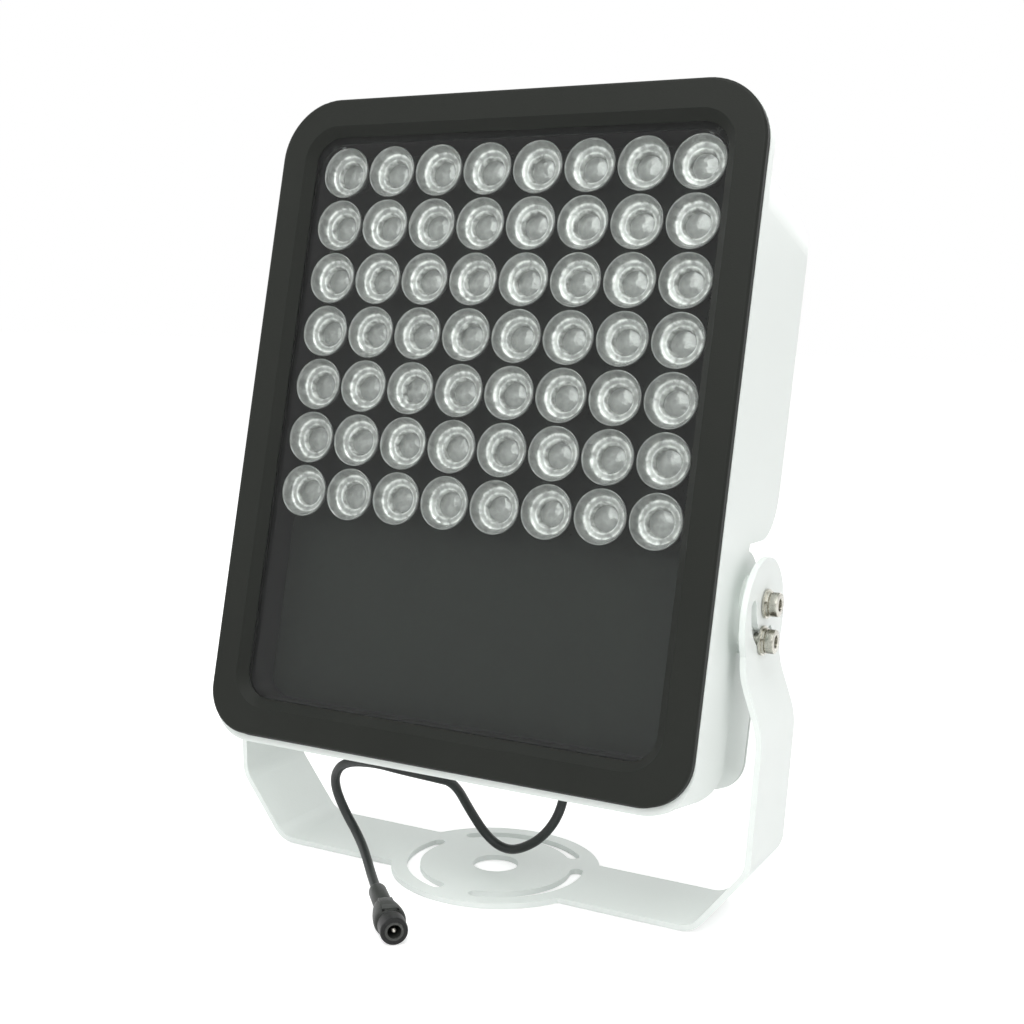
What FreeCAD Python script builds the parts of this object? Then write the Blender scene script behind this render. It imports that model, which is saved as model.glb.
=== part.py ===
import FreeCAD, Part
import math
import os
import Sketcher
from FreeCAD import Placement, Rotation, Vector

# Infrared illuminator: a tilting lamp head with a grid of lensed emitters, held in a folded foot bracket.
# Millimetres. X is to the right, Y to the back, Z up. The origin is the centre of the foot's bore, on the
# floor. The head's pieces are drawn upright around the pivot axis, then tilted back together.

doc = FreeCAD.newDocument("Illuminator")
sheet = doc.addObject("Spreadsheet::Sheet", "Sizes")

SIZES = {
    # Foot bracket: sheet, foot disc and arms
    "sheet_thickness": 2.5,
    "strip_width": 45.0,
    "bend_radius": 14.0,
    "arm_bend_radius": 34.0,
    "foot_fold_reach": 105.3,
    "arm_foot_height": 30.0,
    "arm_lean": 2.4,
    "arm_bulge": 8.6,
    "arm_top_drop": 50.3,
    "ear_drop": 26.3,
    "ear_radius": 25.5,
    "ear_centre_drop": 6.4,
    "ear_clearance": 3.75,
    "foot_disc_radius": 48.3,
    "foot_bore_radius": 10.5,
    "foot_slot_radius": 38.0,
    "foot_slot_width": 6.0,
    "foot_slot_half_span": 45.5,
    "foot_slot_count": 3,
    "pivot_height": 138.3,
    "rest_tilt": 12.4,
    # Pivot and lock bolts
    "bolt_radius": 3.0,
    "bolt_head_radius": 5.0,
    "bolt_head_height": 3.9,
    "bolt_hex_across": 5.0,
    "bolt_hex_depth": 2.2,
    "bolt_grip": 11.0,
    "bolt_clearance": 0.3,
    "lock_radius": 15.2,
    "lock_slot_back_angle": 63.0,
    "lock_slot_front_angle": 180.0,
    "flat_washer_radius": 6.2,
    "flat_washer_thickness": 1.0,
    "spring_washer_radius": 5.4,
    "spring_washer_thickness": 1.1,
    "spring_washer_gap": 1.2,
    "thread_clearance": 0.05,
    "boss_radius": 21.0,
    "pivot_pad_radius": 11.0,
    "lock_pad_radius": 6.5,
    "thread_end": 1.0,
    "running_gap": 0.25,
    # Front bezel and its window
    "face_ahead": 48.6,
    "bezel_side_band": 16.65,
    "bezel_top_band": 16.7,
    "bezel_low_band": 16.5,
    "bezel_top_radius": 27.5,
    "bezel_low_radius": 20.0,
    "bezel_thickness": 4.2,
    "bezel_edge_round": 1.4,
    "window_side_margin": 1.95,
    "window_top_margin": 3.4,
    "window_blank": 83.9,
    "window_radius": 12.0,
    "window_slope": 4.1,
    # Glass and its seal
    "glass_overlap": 5.0,
    "glass_thickness": 3.0,
    "glass_edge_gap": 0.5,
    "seal_thickness": 1.0,
    # Housing casting
    "flange_edge": 0.3,
    "flange_drop": 3.4,
    "flange_thickness": 5.5,
    "body_top_inset": 15.4,
    "body_top_radius": 35.0,
    "floor_thickness": 5.0,
    "shelf_behind": -4.4,
    "body_draft": 2.8,
    "fins_behind": 34.0,
    "fins_low": 23.4,
    "fins_low_round": 24.0,
    "fins_low_slope": 7.0,
    "fins_top_depth": 6.0,
    "fins_top_drop": 12.0,
    "fin_side_wall": 6.0,
    "fin_thickness": 2.6,
    "fin_gap_count": 18,
    "fin_gap_low": 14.0,
    "box_side_inset": 6.3,
    "box_above": 11.0,
    "box_low_inset": 6.4,
    "box_behind": 36.9,
    "box_corner_radius": 14.0,
    "box_wall": 5.6,
    "wire_hole_radius": 5.0,
    # Driver box cover
    "cover_thickness": 3.5,
    "cover_seal_thickness": 1.0,
    "cover_seal_width": 3.0,
    "cover_round": 2.0,
    "cover_screw_inset": 11.2,
    "screw_boss_radius": 5.8,
    # Small screws
    "screw_radius": 2.0,
    "screw_head_radius": 3.6,
    "screw_head_height": 2.6,
    "screw_depth": 9.0,
    "bezel_screw_depth": 3.0,
    # Board, emitters and lenses
    "lens_spacing": 24.5,
    "lens_columns": 8,
    "lens_rows": 7,
    "grid_above": 99.8,
    "lens_gap": 1.7,
    "lens_foot_radius": 6.2,
    "lens_height": 12.2,
    "lens_glass_gap": 3.0,
    "lens_recess_radius": 6.4,
    "lens_recess_floor": 5.2,
    "lens_recess_depth": 4.0,
    "emitter_size": 5.0,
    "emitter_height": 1.0,
    "board_thickness": 2.0,
    "board_edge_gap": 0.8,
    "board_side_inset": 0.1,
    "board_top_inset": 3.1,
    "board_low_inset": 1.0,
    "board_top_radius": 14.2,
    "board_low_radius": 10.0,
    # Driver
    "driver_width": 130.0,
    "driver_rise": 52.0,
    "driver_low": 64.0,
    "driver_thickness": 1.6,
    "standoff_height": 12.0,
    "standoff_radius": 3.2,
    "standoff_inset": 5.0,
    # Cable gland
    "gland_side": 34.4,
    "gland_behind": 19.6,
    "gland_stem_radius": 6.0,
    "gland_stem_inside": 5.0,
    "gland_hex_across": 15.0,
    "gland_hex_height": 3.5,
    "gland_nut_radius": 7.0,
    "gland_nut_height": 6.0,
    "gland_nut_mouth_radius": 5.2,
    "gland_clearance": 0.05,
    # Lead and jack
    "lead_radius": 2.15,
    "lead_clearance": 0.2,
    "lead_inside": 6.0,
    "jack_length": 44.0,
    "jack_neck_radius": 3.9,
    "jack_neck_length": 10.0,
    "jack_taper_length": 14.0,
    "jack_shoulder_radius": 6.7,
    "jack_front_radius": 5.8,
    "jack_front_length": 8.5,
    "jack_flat": 5.7,
    "jack_socket_radius": 3.9,
    "jack_socket_depth": 10.0,
    "jack_liner_wall": 1.0,
    "jack_pin_radius": 1.05,
    "jack_pin_length": 9.0,
    "jack_heading": -48.0,
    "jack_front_side": 5.6,
    "jack_front_ahead": 96.4,
}

for row, (alias, number) in enumerate(SIZES.items(), start=1):
    sheet.set(f"A{row}", alias.replace("_", " "))
    sheet.set(f"B{row}", str(number))
    sheet.setAlias(f"B{row}", alias)
doc.recompute()


def size(alias):
    return float(getattr(sheet, alias))


# Reaches, heights and depths that several pieces share, written as formulas of the sizes. The lens grid sets
# the window, the window sets the bezel, and the bezel sets the housing and the bracket around it.
LENS_RIM = "((Sizes.lens_spacing - Sizes.lens_gap) / 2)"
FIRST_COLUMN = "(-(Sizes.lens_columns - 1) / 2 * Sizes.lens_spacing)"
FIRST_ROW = "(Sizes.grid_above - (Sizes.lens_rows - 1) / 2 * Sizes.lens_spacing)"
WINDOW_HALF = f"({LENS_RIM} + Sizes.window_side_margin - {FIRST_COLUMN})"
WINDOW_TOP = f"(2 * Sizes.grid_above - {FIRST_ROW} + {LENS_RIM} + Sizes.window_top_margin)"
WINDOW_LOW = f"({FIRST_ROW} - {LENS_RIM} - Sizes.window_blank)"
BEZEL_HALF = f"({WINDOW_HALF} + Sizes.bezel_side_band)"
BEZEL_TOP = f"({WINDOW_TOP} + Sizes.bezel_top_band)"
BEZEL_LOW = f"({WINDOW_LOW} - Sizes.bezel_low_band)"
FLANGE_HALF = f"({BEZEL_HALF} + Sizes.flange_edge)"
FLANGE_LOW = f"({BEZEL_LOW} - Sizes.flange_drop)"
BODY_HALF = FLANGE_HALF
BODY_TOP = f"({BEZEL_TOP} - Sizes.body_top_inset)"
BODY_LOW = FLANGE_LOW
BOX_HALF = f"({BODY_HALF} - Sizes.box_side_inset)"
BOX_LOW = f"({BODY_LOW} + Sizes.box_low_inset)"
BOARD_HALF = f"({WINDOW_HALF} - Sizes.board_side_inset)"
BOARD_TOP = f"({WINDOW_TOP} - Sizes.board_top_inset)"
BOARD_LOW = f"({WINDOW_LOW} + Sizes.board_low_inset)"
EAR_INNER = f"({FLANGE_HALF} + Sizes.ear_clearance)"
GLASS_FRONT = "(-Sizes.face_ahead + Sizes.bezel_thickness)"
GLASS_BACK = f"({GLASS_FRONT} + Sizes.glass_thickness)"
FINS_HALF = f"({BODY_HALF} - (Sizes.fins_behind - {GLASS_FRONT}) * tan(Sizes.body_draft))"
FIN_STEP = f"((2 * {FINS_HALF} - 2 * Sizes.fin_side_wall + Sizes.fin_thickness) / Sizes.fin_gap_count)"
LEDGE = f"({GLASS_BACK} + Sizes.seal_thickness)"
LENS_FRONT = f"({GLASS_BACK} + Sizes.lens_glass_gap)"
LENS_BACK = f"({LENS_FRONT} + Sizes.lens_height)"
BOARD_FRONT = f"({LENS_BACK} + Sizes.emitter_height)"
BOARD_BACK = f"({BOARD_FRONT} + Sizes.board_thickness)"
FLOOR_BACK = f"({BOARD_BACK} + Sizes.floor_thickness)"
FLANGE_BACK = f"({GLASS_FRONT} + Sizes.flange_thickness)"
COVER_FRONT = "(Sizes.box_behind + Sizes.cover_seal_thickness)"
EAR_OUTER = f"({EAR_INNER} + Sizes.sheet_thickness)"
BOSS_FACE = f"({EAR_INNER} - Sizes.running_gap)"
WASHER_FACE = f"({EAR_OUTER} + Sizes.running_gap)"
GLAND_FACE = BOX_LOW
GLAND_NUT_TOP = f"({GLAND_FACE} - Sizes.gland_hex_height)"
GLAND_MOUTH = f"({GLAND_NUT_TOP} - Sizes.gland_nut_height)"


def number(formula):
    """The value of a formula of the sheet's sizes."""
    return float(sheet.evalExpression(formula))


def bind(feature, **formulas):
    """Sets properties of a feature from formulas."""
    for name, formula in formulas.items():
        feature.setExpression(name, formula)


# Bodies, sketches and features

def body(name, tilted=True):
    """A sub-part; a tilted one belongs to the lamp head and leans back about the pivot axis."""
    part = doc.addObject("PartDesign::Body", name)
    part.Label = name
    if tilted:
        part.Placement = Placement(Vector(0, 0, 0), Rotation(Vector(1, 0, 0), -1))
        part.setExpression("Placement.Base.z", "Sizes.pivot_height")
        part.setExpression("Placement.Rotation.Angle", "-Sizes.rest_tilt")
    return part


def origin_feature(part, role):
    return [item for item in part.Origin.OriginFeatures if item.Role == role][0]


def sketch_on(part, name, role, offset="0"):
    """A sketch on one of the body's own origin planes, moved along the plane's normal."""
    sketch = part.newObject("Sketcher::SketchObject", f"{part.Name}_{name}")
    sketch.AttachmentSupport = (origin_feature(part, role), [""])
    sketch.MapMode = "FlatFace"
    sketch.setExpression("AttachmentOffset.Base.z", offset)
    return sketch


def front_sketch(part, name, depth):
    """A sketch seen from the front, X to the right and Z up, at a depth along +Y."""
    return sketch_on(part, name, "XZ_Plane", f"-({depth})")


def constrain(sketch, constraint, formula):
    """Adds a constraint of size and ties it to a formula."""
    index = sketch.addConstraint(constraint)
    sketch.setExpression(f"Constraints[{index}]", formula)


def place_on_axis(sketch, kind, axis, geometry, position, formula):
    value = number(formula)
    if abs(value) < 1e-9:
        sketch.addConstraint(Sketcher.Constraint("PointOnObject", geometry, position, axis))
    elif value > 0:
        constrain(sketch, Sketcher.Constraint(kind, -1, 1, geometry, position, value), formula)
    else:
        constrain(sketch, Sketcher.Constraint(kind, geometry, position, -1, 1, -value), f"-({formula})")


def place_across(sketch, geometry, position, across):
    """Holds a point of a sketch at a distance from its upright axis, to either side."""
    place_on_axis(sketch, "DistanceX", -2, geometry, position, across)


def place_along(sketch, geometry, position, along):
    """Holds a point of a sketch at a distance from its level axis, to either side."""
    place_on_axis(sketch, "DistanceY", -1, geometry, position, along)


def place_point(sketch, geometry, position, across, along):
    place_across(sketch, geometry, position, across)
    place_along(sketch, geometry, position, along)


def rounded_path(sketch, corners, closed=True):
    """Straight runs through corner points, rounded by tangent arcs.

    Each corner is (across, along, radius) in formulas; radius None leaves it sharp.
    """
    points = [Vector(number(across), number(along), 0) for across, along, _ in corners]
    count = len(points)
    runs = count if closed else count - 1
    starts, ends = [None] * runs, [None] * runs
    rounds = {}
    for index in range(count):
        before, after = (index - 1) % count, index
        radius = corners[index][2]
        if not closed and index in (0, count - 1):
            if index == 0:
                starts[0] = points[0]
            else:
                ends[runs - 1] = points[index]
            continue
        incoming = (points[before] - points[index]).normalize()
        outgoing = (points[(index + 1) % count] - points[index]).normalize()
        if radius is None:
            ends[before], starts[after] = points[index], points[index]
            continue
        half = incoming.getAngle(outgoing) / 2
        reach = number(radius) / math.tan(half)
        centre = points[index] + (incoming + outgoing).normalize() * (number(radius) / math.sin(half))
        middle = centre + (points[index] - centre).normalize() * number(radius)
        ends[before] = points[index] + incoming * reach
        starts[after] = points[index] + outgoing * reach
        rounds[index] = Part.Arc(ends[before], middle, starts[after])
    lines = [sketch.addGeometry(Part.LineSegment(starts[i], ends[i]), False) for i in range(runs)]
    for index in range(count):
        across, along, radius = corners[index]
        before, after = (index - 1) % count, index
        if not closed and index == 0:
            place_point(sketch, lines[0], 1, across, along)
        elif not closed and index == count - 1:
            place_point(sketch, lines[-1], 2, across, along)
        elif radius is None:
            sketch.addConstraint(Sketcher.Constraint("Coincident", lines[before], 2, lines[after], 1))
            place_point(sketch, lines[after], 1, across, along)
        else:
            arc = sketch.addGeometry(rounds[index], False)
            start, end = arc_ends(sketch, arc, ends[before])
            sketch.addConstraint(Sketcher.Constraint("Tangent", lines[before], 2, arc, start))
            sketch.addConstraint(Sketcher.Constraint("Tangent", lines[after], 1, arc, end))
            constrain(sketch, Sketcher.Constraint("Radius", arc, number(radius)), radius)
            corner = sketch.addGeometry(Part.Point(points[index]), True)
            sketch.addConstraint(Sketcher.Constraint("PointOnObject", corner, 1, lines[before]))
            sketch.addConstraint(Sketcher.Constraint("PointOnObject", corner, 1, lines[after]))
            place_point(sketch, corner, 1, across, along)
    return lines


def arc_ends(sketch, arc, begin):
    """Which end of an arc is nearer to a point: an arc always runs the same way round in a sketch."""
    first = sketch.getPoint(arc, 1)
    return (1, 2) if (first - begin).Length < 1e-6 else (2, 1)


def outline(sketch, half_width, low, high, low_radius, high_radius):
    """A rectangle about the middle plane with rounded lower and upper corners."""
    rounded_path(sketch, [
        (f"-({half_width})", low, low_radius),
        (half_width, low, low_radius),
        (half_width, high, high_radius),
        (f"-({half_width})", high, high_radius),
    ])


def circle(sketch, across, along, radius):
    geometry = sketch.addGeometry(
        Part.Circle(Vector(number(across), number(along), 0), Vector(0, 0, 1), number(radius)), False)
    place_point(sketch, geometry, 3, across, along)
    constrain(sketch, Sketcher.Constraint("Radius", geometry, number(radius)), radius)


def arc_slot(sketch, centre_along, mean_radius, width, begin, end):
    """A slot along an arc about a point of the sketch's upright axis, with round ends at two angles."""
    centre = Vector(0, number(centre_along), 0)
    first, last = number(begin), number(end)
    mean, half = number(mean_radius), number(width) / 2

    def at(angle, radius):
        turn = math.radians(angle)
        return centre + Vector(math.cos(turn), math.sin(turn), 0) * radius

    middle = (first + last) / 2
    outer = sketch.addGeometry(Part.Arc(at(first, mean + half), at(middle, mean + half), at(last, mean + half)))
    inner = sketch.addGeometry(Part.Arc(at(first, mean - half), at(middle, mean - half), at(last, mean - half)))
    cap_points = ((first, -1), (last, 1))
    caps = []
    for angle, side in cap_points:
        turn = math.radians(angle + 90)
        tip = at(angle, mean) + Vector(math.cos(turn), math.sin(turn), 0) * half * side
        caps.append(sketch.addGeometry(Part.Arc(at(angle, mean - half), tip, at(angle, mean + half))))
    for arc in (outer, inner):
        place_point(sketch, arc, 3, "0 * 1", centre_along)
    constrain(sketch, Sketcher.Constraint("Radius", outer, mean + half), f"{mean_radius} + {width} / 2")
    constrain(sketch, Sketcher.Constraint("Radius", inner, mean - half), f"{mean_radius} - {width} / 2")
    for cap, angle, formula in ((caps[0], first, begin), (caps[1], last, end)):
        for arc, radius in ((inner, mean - half), (outer, mean + half)):
            arc_point, _ = arc_ends(sketch, arc, at(angle, radius))
            cap_point, _ = arc_ends(sketch, cap, at(angle, radius))
            sketch.addConstraint(Sketcher.Constraint("Tangent", arc, arc_point, cap, cap_point))
        turn = math.radians(angle)
        if abs(math.sin(turn)) > abs(math.cos(turn)):
            place_across(sketch, cap, 3, f"{mean_radius} * cos(({formula}) * 1 deg)")
        else:
            place_along(sketch, cap, 3, f"{centre_along} + {mean_radius} * sin(({formula}) * 1 deg)")


def pad(part, sketch, length, back=True, draft=None):
    """Pads a front sketch towards the back of the lamp, or towards its normal, narrowing by a draft angle."""
    feature = part.newObject("PartDesign::Pad", f"{sketch.Name}_pad")
    feature.Profile = sketch
    feature.Reversed = back
    feature.setExpression("Length", length)
    if draft:
        feature.setExpression("TaperAngle", f"-{draft}")
    part.Tip = feature
    doc.recompute()
    return feature


def pad_about(part, sketch, length):
    """Pads a sketch by half the length to each side."""
    feature = part.newObject("PartDesign::Pad", f"{sketch.Name}_pad")
    feature.Profile = sketch
    feature.SideType = "Symmetric"
    feature.setExpression("Length", length)
    part.Tip = feature
    doc.recompute()
    return feature


def pocket(part, sketch, length=None, back=True, through=False):
    """Cuts a sketch into the body and makes sure that it removed something."""
    before = part.Shape.Volume
    feature = part.newObject("PartDesign::Pocket", f"{sketch.Name}_cut")
    feature.Profile = sketch
    if through:
        feature.Type = "ThroughAll"
        feature.SideType = "Symmetric"
    else:
        feature.Reversed = not back
        feature.setExpression("Length", length)
    part.Tip = feature
    doc.recompute()
    if part.Shape.Volume > before - 1e-3:
        raise ValueError(f"{sketch.Name} cuts nothing")
    return feature


def revolve(part, sketch, axis, cut=False):
    kind = "PartDesign::Groove" if cut else "PartDesign::Revolution"
    feature = part.newObject(kind, f"{sketch.Name}_turn")
    feature.Profile = sketch
    feature.ReferenceAxis = (sketch, [axis])
    feature.Angle = 360
    part.Tip = feature
    doc.recompute()
    return feature


def repeat(part, originals, role, spacing, count):
    """Repeats features along one of the body's axes."""
    feature = part.newObject("PartDesign::LinearPattern", f"{originals[0].Name}_row")
    feature.Originals = originals
    feature.Direction = (origin_feature(part, role), [""])
    feature.Mode = "Spacing"
    feature.setExpression("Offset", spacing)
    feature.setExpression("Occurrences", count)
    part.Tip = feature
    doc.recompute()
    return feature


def mirror(part, originals, role="YZ_Plane"):
    feature = part.newObject("PartDesign::Mirrored", f"{originals[0].Name}_mirror")
    feature.Originals = originals
    feature.MirrorPlane = (origin_feature(part, role), [""])
    part.Tip = feature
    doc.recompute()
    return feature


def edge_names(feature, wanted):
    """Names of the feature's edges for which the test holds at the edge's middle point."""
    names = []
    for index, edge in enumerate(feature.Shape.Edges, start=1):
        middle = edge.valueAt((edge.FirstParameter + edge.LastParameter) / 2)
        if wanted(middle, edge):
            names.append(f"Edge{index}")
    return names


def fillet(part, base, wanted, radius):
    feature = part.newObject("PartDesign::Fillet", f"{base.Name}_round")
    feature.Base = (base, edge_names(base, wanted))
    feature.setExpression("Radius", radius)
    part.Tip = feature
    doc.recompute()
    return feature


def chamfer(part, base, wanted, leg):
    feature = part.newObject("PartDesign::Chamfer", f"{base.Name}_chamfer")
    feature.Base = (base, edge_names(base, wanted))
    feature.setExpression("Size", leg)
    part.Tip = feature
    doc.recompute()
    return feature


def folded_strip(sketch, corners, thickness):
    """A bent sheet seen from its edge: an outer path and an inner one beside it, one thickness apart.

    Each corner is (across, along, outer radius, side) in formulas; side is 1 where the fold wraps round the
    inner face and -1 where it wraps round the outer one. The first run starts on the upright axis.
    """
    outer = [Vector(number(across), number(along), 0) for across, along, _, _ in corners]
    runs = [(outer[i + 1] - outer[i]).normalize() for i in range(len(outer) - 1)]
    inward = [Vector(-run.y, run.x, 0) for run in runs]
    wall = number(thickness)
    inner = [outer[0] + inward[0] * wall]
    for i in range(1, len(outer) - 1):
        together = inward[i - 1] + inward[i]
        inner.append(outer[i] + together * (wall / (1 + inward[i - 1].dot(inward[i]))))
    inner.append(outer[-1] + inward[-1] * wall)
    lines, arcs = {}, {}
    for label, points in (("outer", outer), ("inner", inner)):
        ends = [points[0]]
        bends = []
        for i in range(1, len(points) - 1):
            before = (points[i - 1] - points[i]).normalize()
            after = (points[i + 1] - points[i]).normalize()
            half = before.getAngle(after) / 2
            side = corners[i][3]
            radius = number(corners[i][2]) - (wall * side if label == "inner" else 0)
            reach = radius / math.tan(half)
            centre = points[i] + (before + after).normalize() * (radius / math.sin(half))
            middle = centre + (points[i] - centre).normalize() * radius
            first, last = points[i] + before * reach, points[i] + after * reach
            bends.append((first, middle, last))
            ends += [first, last]
        ends.append(points[-1])
        lines[label] = [sketch.addGeometry(Part.LineSegment(ends[i], ends[i + 1]), False)
                        for i in range(0, len(ends), 2)]
        arcs[label] = [sketch.addGeometry(Part.Arc(*bend), False) for bend in bends]
        for i, bend in enumerate(bends):
            start, end = arc_ends(sketch, arcs[label][i], bend[0])
            sketch.addConstraint(Sketcher.Constraint("Tangent", lines[label][i], 2, arcs[label][i], start))
            sketch.addConstraint(Sketcher.Constraint("Tangent", lines[label][i + 1], 1, arcs[label][i], end))
            formula = corners[i + 1][2]
            if label == "inner":
                sign = "-" if corners[i + 1][3] > 0 else "+"
                formula = f"{formula} {sign} {thickness}"
                sketch.addConstraint(
                    Sketcher.Constraint("Coincident", arcs["inner"][i], 3, arcs["outer"][i], 3))
            constrain(sketch, Sketcher.Constraint("Radius", arcs[label][i], number(formula)), formula)
    for i, (across, along, radius, side) in enumerate(corners):
        if i == 0:
            place_point(sketch, lines["outer"][0], 1, across, along)
        elif i == len(corners) - 1:
            place_point(sketch, lines["outer"][-1], 2, across, along)
        else:
            corner = sketch.addGeometry(Part.Point(outer[i]), True)
            sketch.addConstraint(Sketcher.Constraint("PointOnObject", corner, 1, lines["outer"][i - 1]))
            sketch.addConstraint(Sketcher.Constraint("PointOnObject", corner, 1, lines["outer"][i]))
            place_point(sketch, corner, 1, across, along)
    foot = sketch.addGeometry(Part.LineSegment(outer[0], inner[0]), False)
    top = sketch.addGeometry(Part.LineSegment(outer[-1], inner[-1]), False)
    for cap, place, kind in ((foot, 0, 1), (top, -1, 2)):
        sketch.addConstraint(Sketcher.Constraint("Coincident", cap, 1, lines["outer"][place], kind))
        sketch.addConstraint(Sketcher.Constraint("Coincident", cap, 2, lines["inner"][place], kind))
    sketch.addConstraint(Sketcher.Constraint("Vertical", foot))
    sketch.addConstraint(Sketcher.Constraint("Horizontal", top))


# Foot bracket: one sheet, folded up into two arms with round-topped ears
bracket = body("bracket", tilted=False)
strip = sketch_on(bracket, "strip", "XZ_Plane")
folded_strip(strip, [
    ("0 * Sizes.foot_fold_reach", "0 * Sizes.foot_fold_reach", None, 1),
    ("Sizes.foot_fold_reach", "0 * Sizes.foot_fold_reach", "Sizes.bend_radius", 1),
    (f"{EAR_OUTER} + Sizes.arm_bulge - Sizes.arm_lean", "Sizes.arm_foot_height", "Sizes.bend_radius", 1),
    (f"{EAR_OUTER} + Sizes.arm_bulge", "Sizes.pivot_height - Sizes.arm_top_drop", "Sizes.arm_bend_radius", 1),
    (EAR_OUTER, "Sizes.pivot_height - Sizes.ear_drop", "Sizes.arm_bend_radius", -1),
    (EAR_OUTER, "Sizes.pivot_height - Sizes.ear_centre_drop", None, 1),
], "Sizes.sheet_thickness")
arm = pad_about(bracket, strip, "Sizes.strip_width")
ear = sketch_on(bracket, "ear", "YZ_Plane", EAR_INNER)
ear_centre = number("Sizes.pivot_height - Sizes.ear_centre_drop")
ear_span = number("Sizes.strip_width / 2")
ear_low = ear_centre - math.sqrt(size("ear_radius") ** 2 - ear_span ** 2)
rim = ear.addGeometry(Part.Arc(Vector(ear_span, ear_low, 0), Vector(0, ear_centre + size("ear_radius"), 0),
                               Vector(-ear_span, ear_low, 0)), False)
base = ear.addGeometry(Part.LineSegment(Vector(ear_span, ear_low, 0), Vector(-ear_span, ear_low, 0)), False)
ear.addConstraint(Sketcher.Constraint("Coincident", base, 1, rim, 1))
ear.addConstraint(Sketcher.Constraint("Coincident", base, 2, rim, 2))
ear.addConstraint(Sketcher.Constraint("Horizontal", base))
place_point(ear, rim, 3, "0 * Sizes.ear_radius", "Sizes.pivot_height - Sizes.ear_centre_drop")
constrain(ear, Sketcher.Constraint("Radius", rim, size("ear_radius")), "Sizes.ear_radius")
place_across(ear, base, 1, "Sizes.strip_width / 2")
round_ear = pad(bracket, ear, "Sizes.sheet_thickness", back=False)
ear_cuts = sketch_on(bracket, "ear_cuts", "YZ_Plane")
circle(ear_cuts, "0 * Sizes.bolt_radius", "Sizes.pivot_height", "Sizes.bolt_radius + Sizes.bolt_clearance")
arc_slot(ear_cuts, "Sizes.pivot_height", "Sizes.lock_radius", "(2 * Sizes.bolt_radius + 2 * Sizes.bolt_clearance)",
         "-Sizes.lock_slot_front_angle", "-Sizes.lock_slot_back_angle")
ear_holes = pocket(bracket, ear_cuts, through=True)
both_arms = mirror(bracket, [arm, round_ear, ear_holes])
foot = sketch_on(bracket, "foot", "XY_Plane")
circle(foot, "0 * Sizes.foot_disc_radius", "0 * Sizes.foot_disc_radius", "Sizes.foot_disc_radius")
foot_disc = pad(bracket, foot, "Sizes.sheet_thickness", back=False)
bore = sketch_on(bracket, "bore", "XY_Plane")
circle(bore, "0 * Sizes.foot_bore_radius", "0 * Sizes.foot_bore_radius", "Sizes.foot_bore_radius")
pocket(bracket, bore, through=True)
foot_slot = sketch_on(bracket, "foot_slot", "XY_Plane")
arc_slot(foot_slot, "0 * Sizes.foot_slot_radius", "Sizes.foot_slot_radius", "Sizes.foot_slot_width",
         "90 - Sizes.foot_slot_half_span", "90 + Sizes.foot_slot_half_span")
foot_slot_cut = pocket(bracket, foot_slot, through=True)
ring = bracket.newObject("PartDesign::PolarPattern", "foot_slot_ring")
ring.Originals = [foot_slot_cut]
ring.Axis = (origin_feature(bracket, "Z_Axis"), [""])
ring.Angle = 360
ring.setExpression("Occurrences", "Sizes.foot_slot_count")
bracket.Tip = ring
doc.recompute()

# Housing casting: a front tray with a flange, fins behind its upper part and a driver box behind its lower one
housing = body("rear_housing")
shell_outline = front_sketch(housing, "shell", GLASS_FRONT)
outline(shell_outline, BODY_HALF, BODY_LOW, BODY_TOP, "Sizes.bezel_low_radius + Sizes.flange_edge",
        "Sizes.body_top_radius")
pad(housing, shell_outline, f"Sizes.fins_behind - {GLASS_FRONT}", draft="Sizes.body_draft")
side_cut = sketch_on(housing, "side_cut", "YZ_Plane")
rounded_path(side_cut, [
    ("Sizes.shelf_behind", f"{BODY_LOW} - 5", None),
    ("Sizes.shelf_behind", "Sizes.fins_low", None),
    ("Sizes.fins_behind", "Sizes.fins_low + Sizes.fins_low_slope", "Sizes.fins_low_round"),
    ("Sizes.fins_behind", f"{BODY_TOP} - Sizes.fins_top_drop", None),
    ("Sizes.fins_behind - Sizes.fins_top_depth", BODY_TOP, None),
    ("Sizes.fins_behind - Sizes.fins_top_depth", f"{BODY_TOP} + 5", None),
    ("Sizes.fins_behind + 5", f"{BODY_TOP} + 5", None),
    ("Sizes.fins_behind + 5", f"{BODY_LOW} - 5", None),
])
pocket(housing, side_cut, through=True)
flange = front_sketch(housing, "flange", GLASS_FRONT)
outline(flange, FLANGE_HALF, FLANGE_LOW, f"{BEZEL_TOP} + Sizes.flange_edge",
        "Sizes.bezel_low_radius + Sizes.flange_edge", "Sizes.bezel_top_radius + Sizes.flange_edge")
pad(housing, flange, "Sizes.flange_thickness")
driver_box = front_sketch(housing, "driver_box", FLOOR_BACK)
outline(driver_box, BOX_HALF, BOX_LOW, "Sizes.box_above", "Sizes.box_corner_radius", "Sizes.box_corner_radius")
pad(housing, driver_box, f"Sizes.box_behind - {FLOOR_BACK}")
glass_seat = front_sketch(housing, "glass_seat", GLASS_FRONT)
outline(glass_seat, f"{WINDOW_HALF} + Sizes.glass_overlap + Sizes.glass_edge_gap",
        f"{WINDOW_LOW} - Sizes.glass_overlap - Sizes.glass_edge_gap",
        f"{WINDOW_TOP} + Sizes.glass_overlap + Sizes.glass_edge_gap",
        "Sizes.window_radius + Sizes.glass_overlap + Sizes.glass_edge_gap",
        "Sizes.window_radius + Sizes.glass_overlap + Sizes.glass_edge_gap")
pocket(housing, glass_seat, f"{LEDGE} - {GLASS_FRONT}")
tray = front_sketch(housing, "tray", LEDGE)
outline(tray, f"{BOARD_HALF} + Sizes.board_edge_gap", f"{BOARD_LOW} - Sizes.board_edge_gap",
        f"{BOARD_TOP} + Sizes.board_edge_gap", "Sizes.board_low_radius + Sizes.board_edge_gap",
        "Sizes.board_top_radius + Sizes.board_edge_gap")
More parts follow.
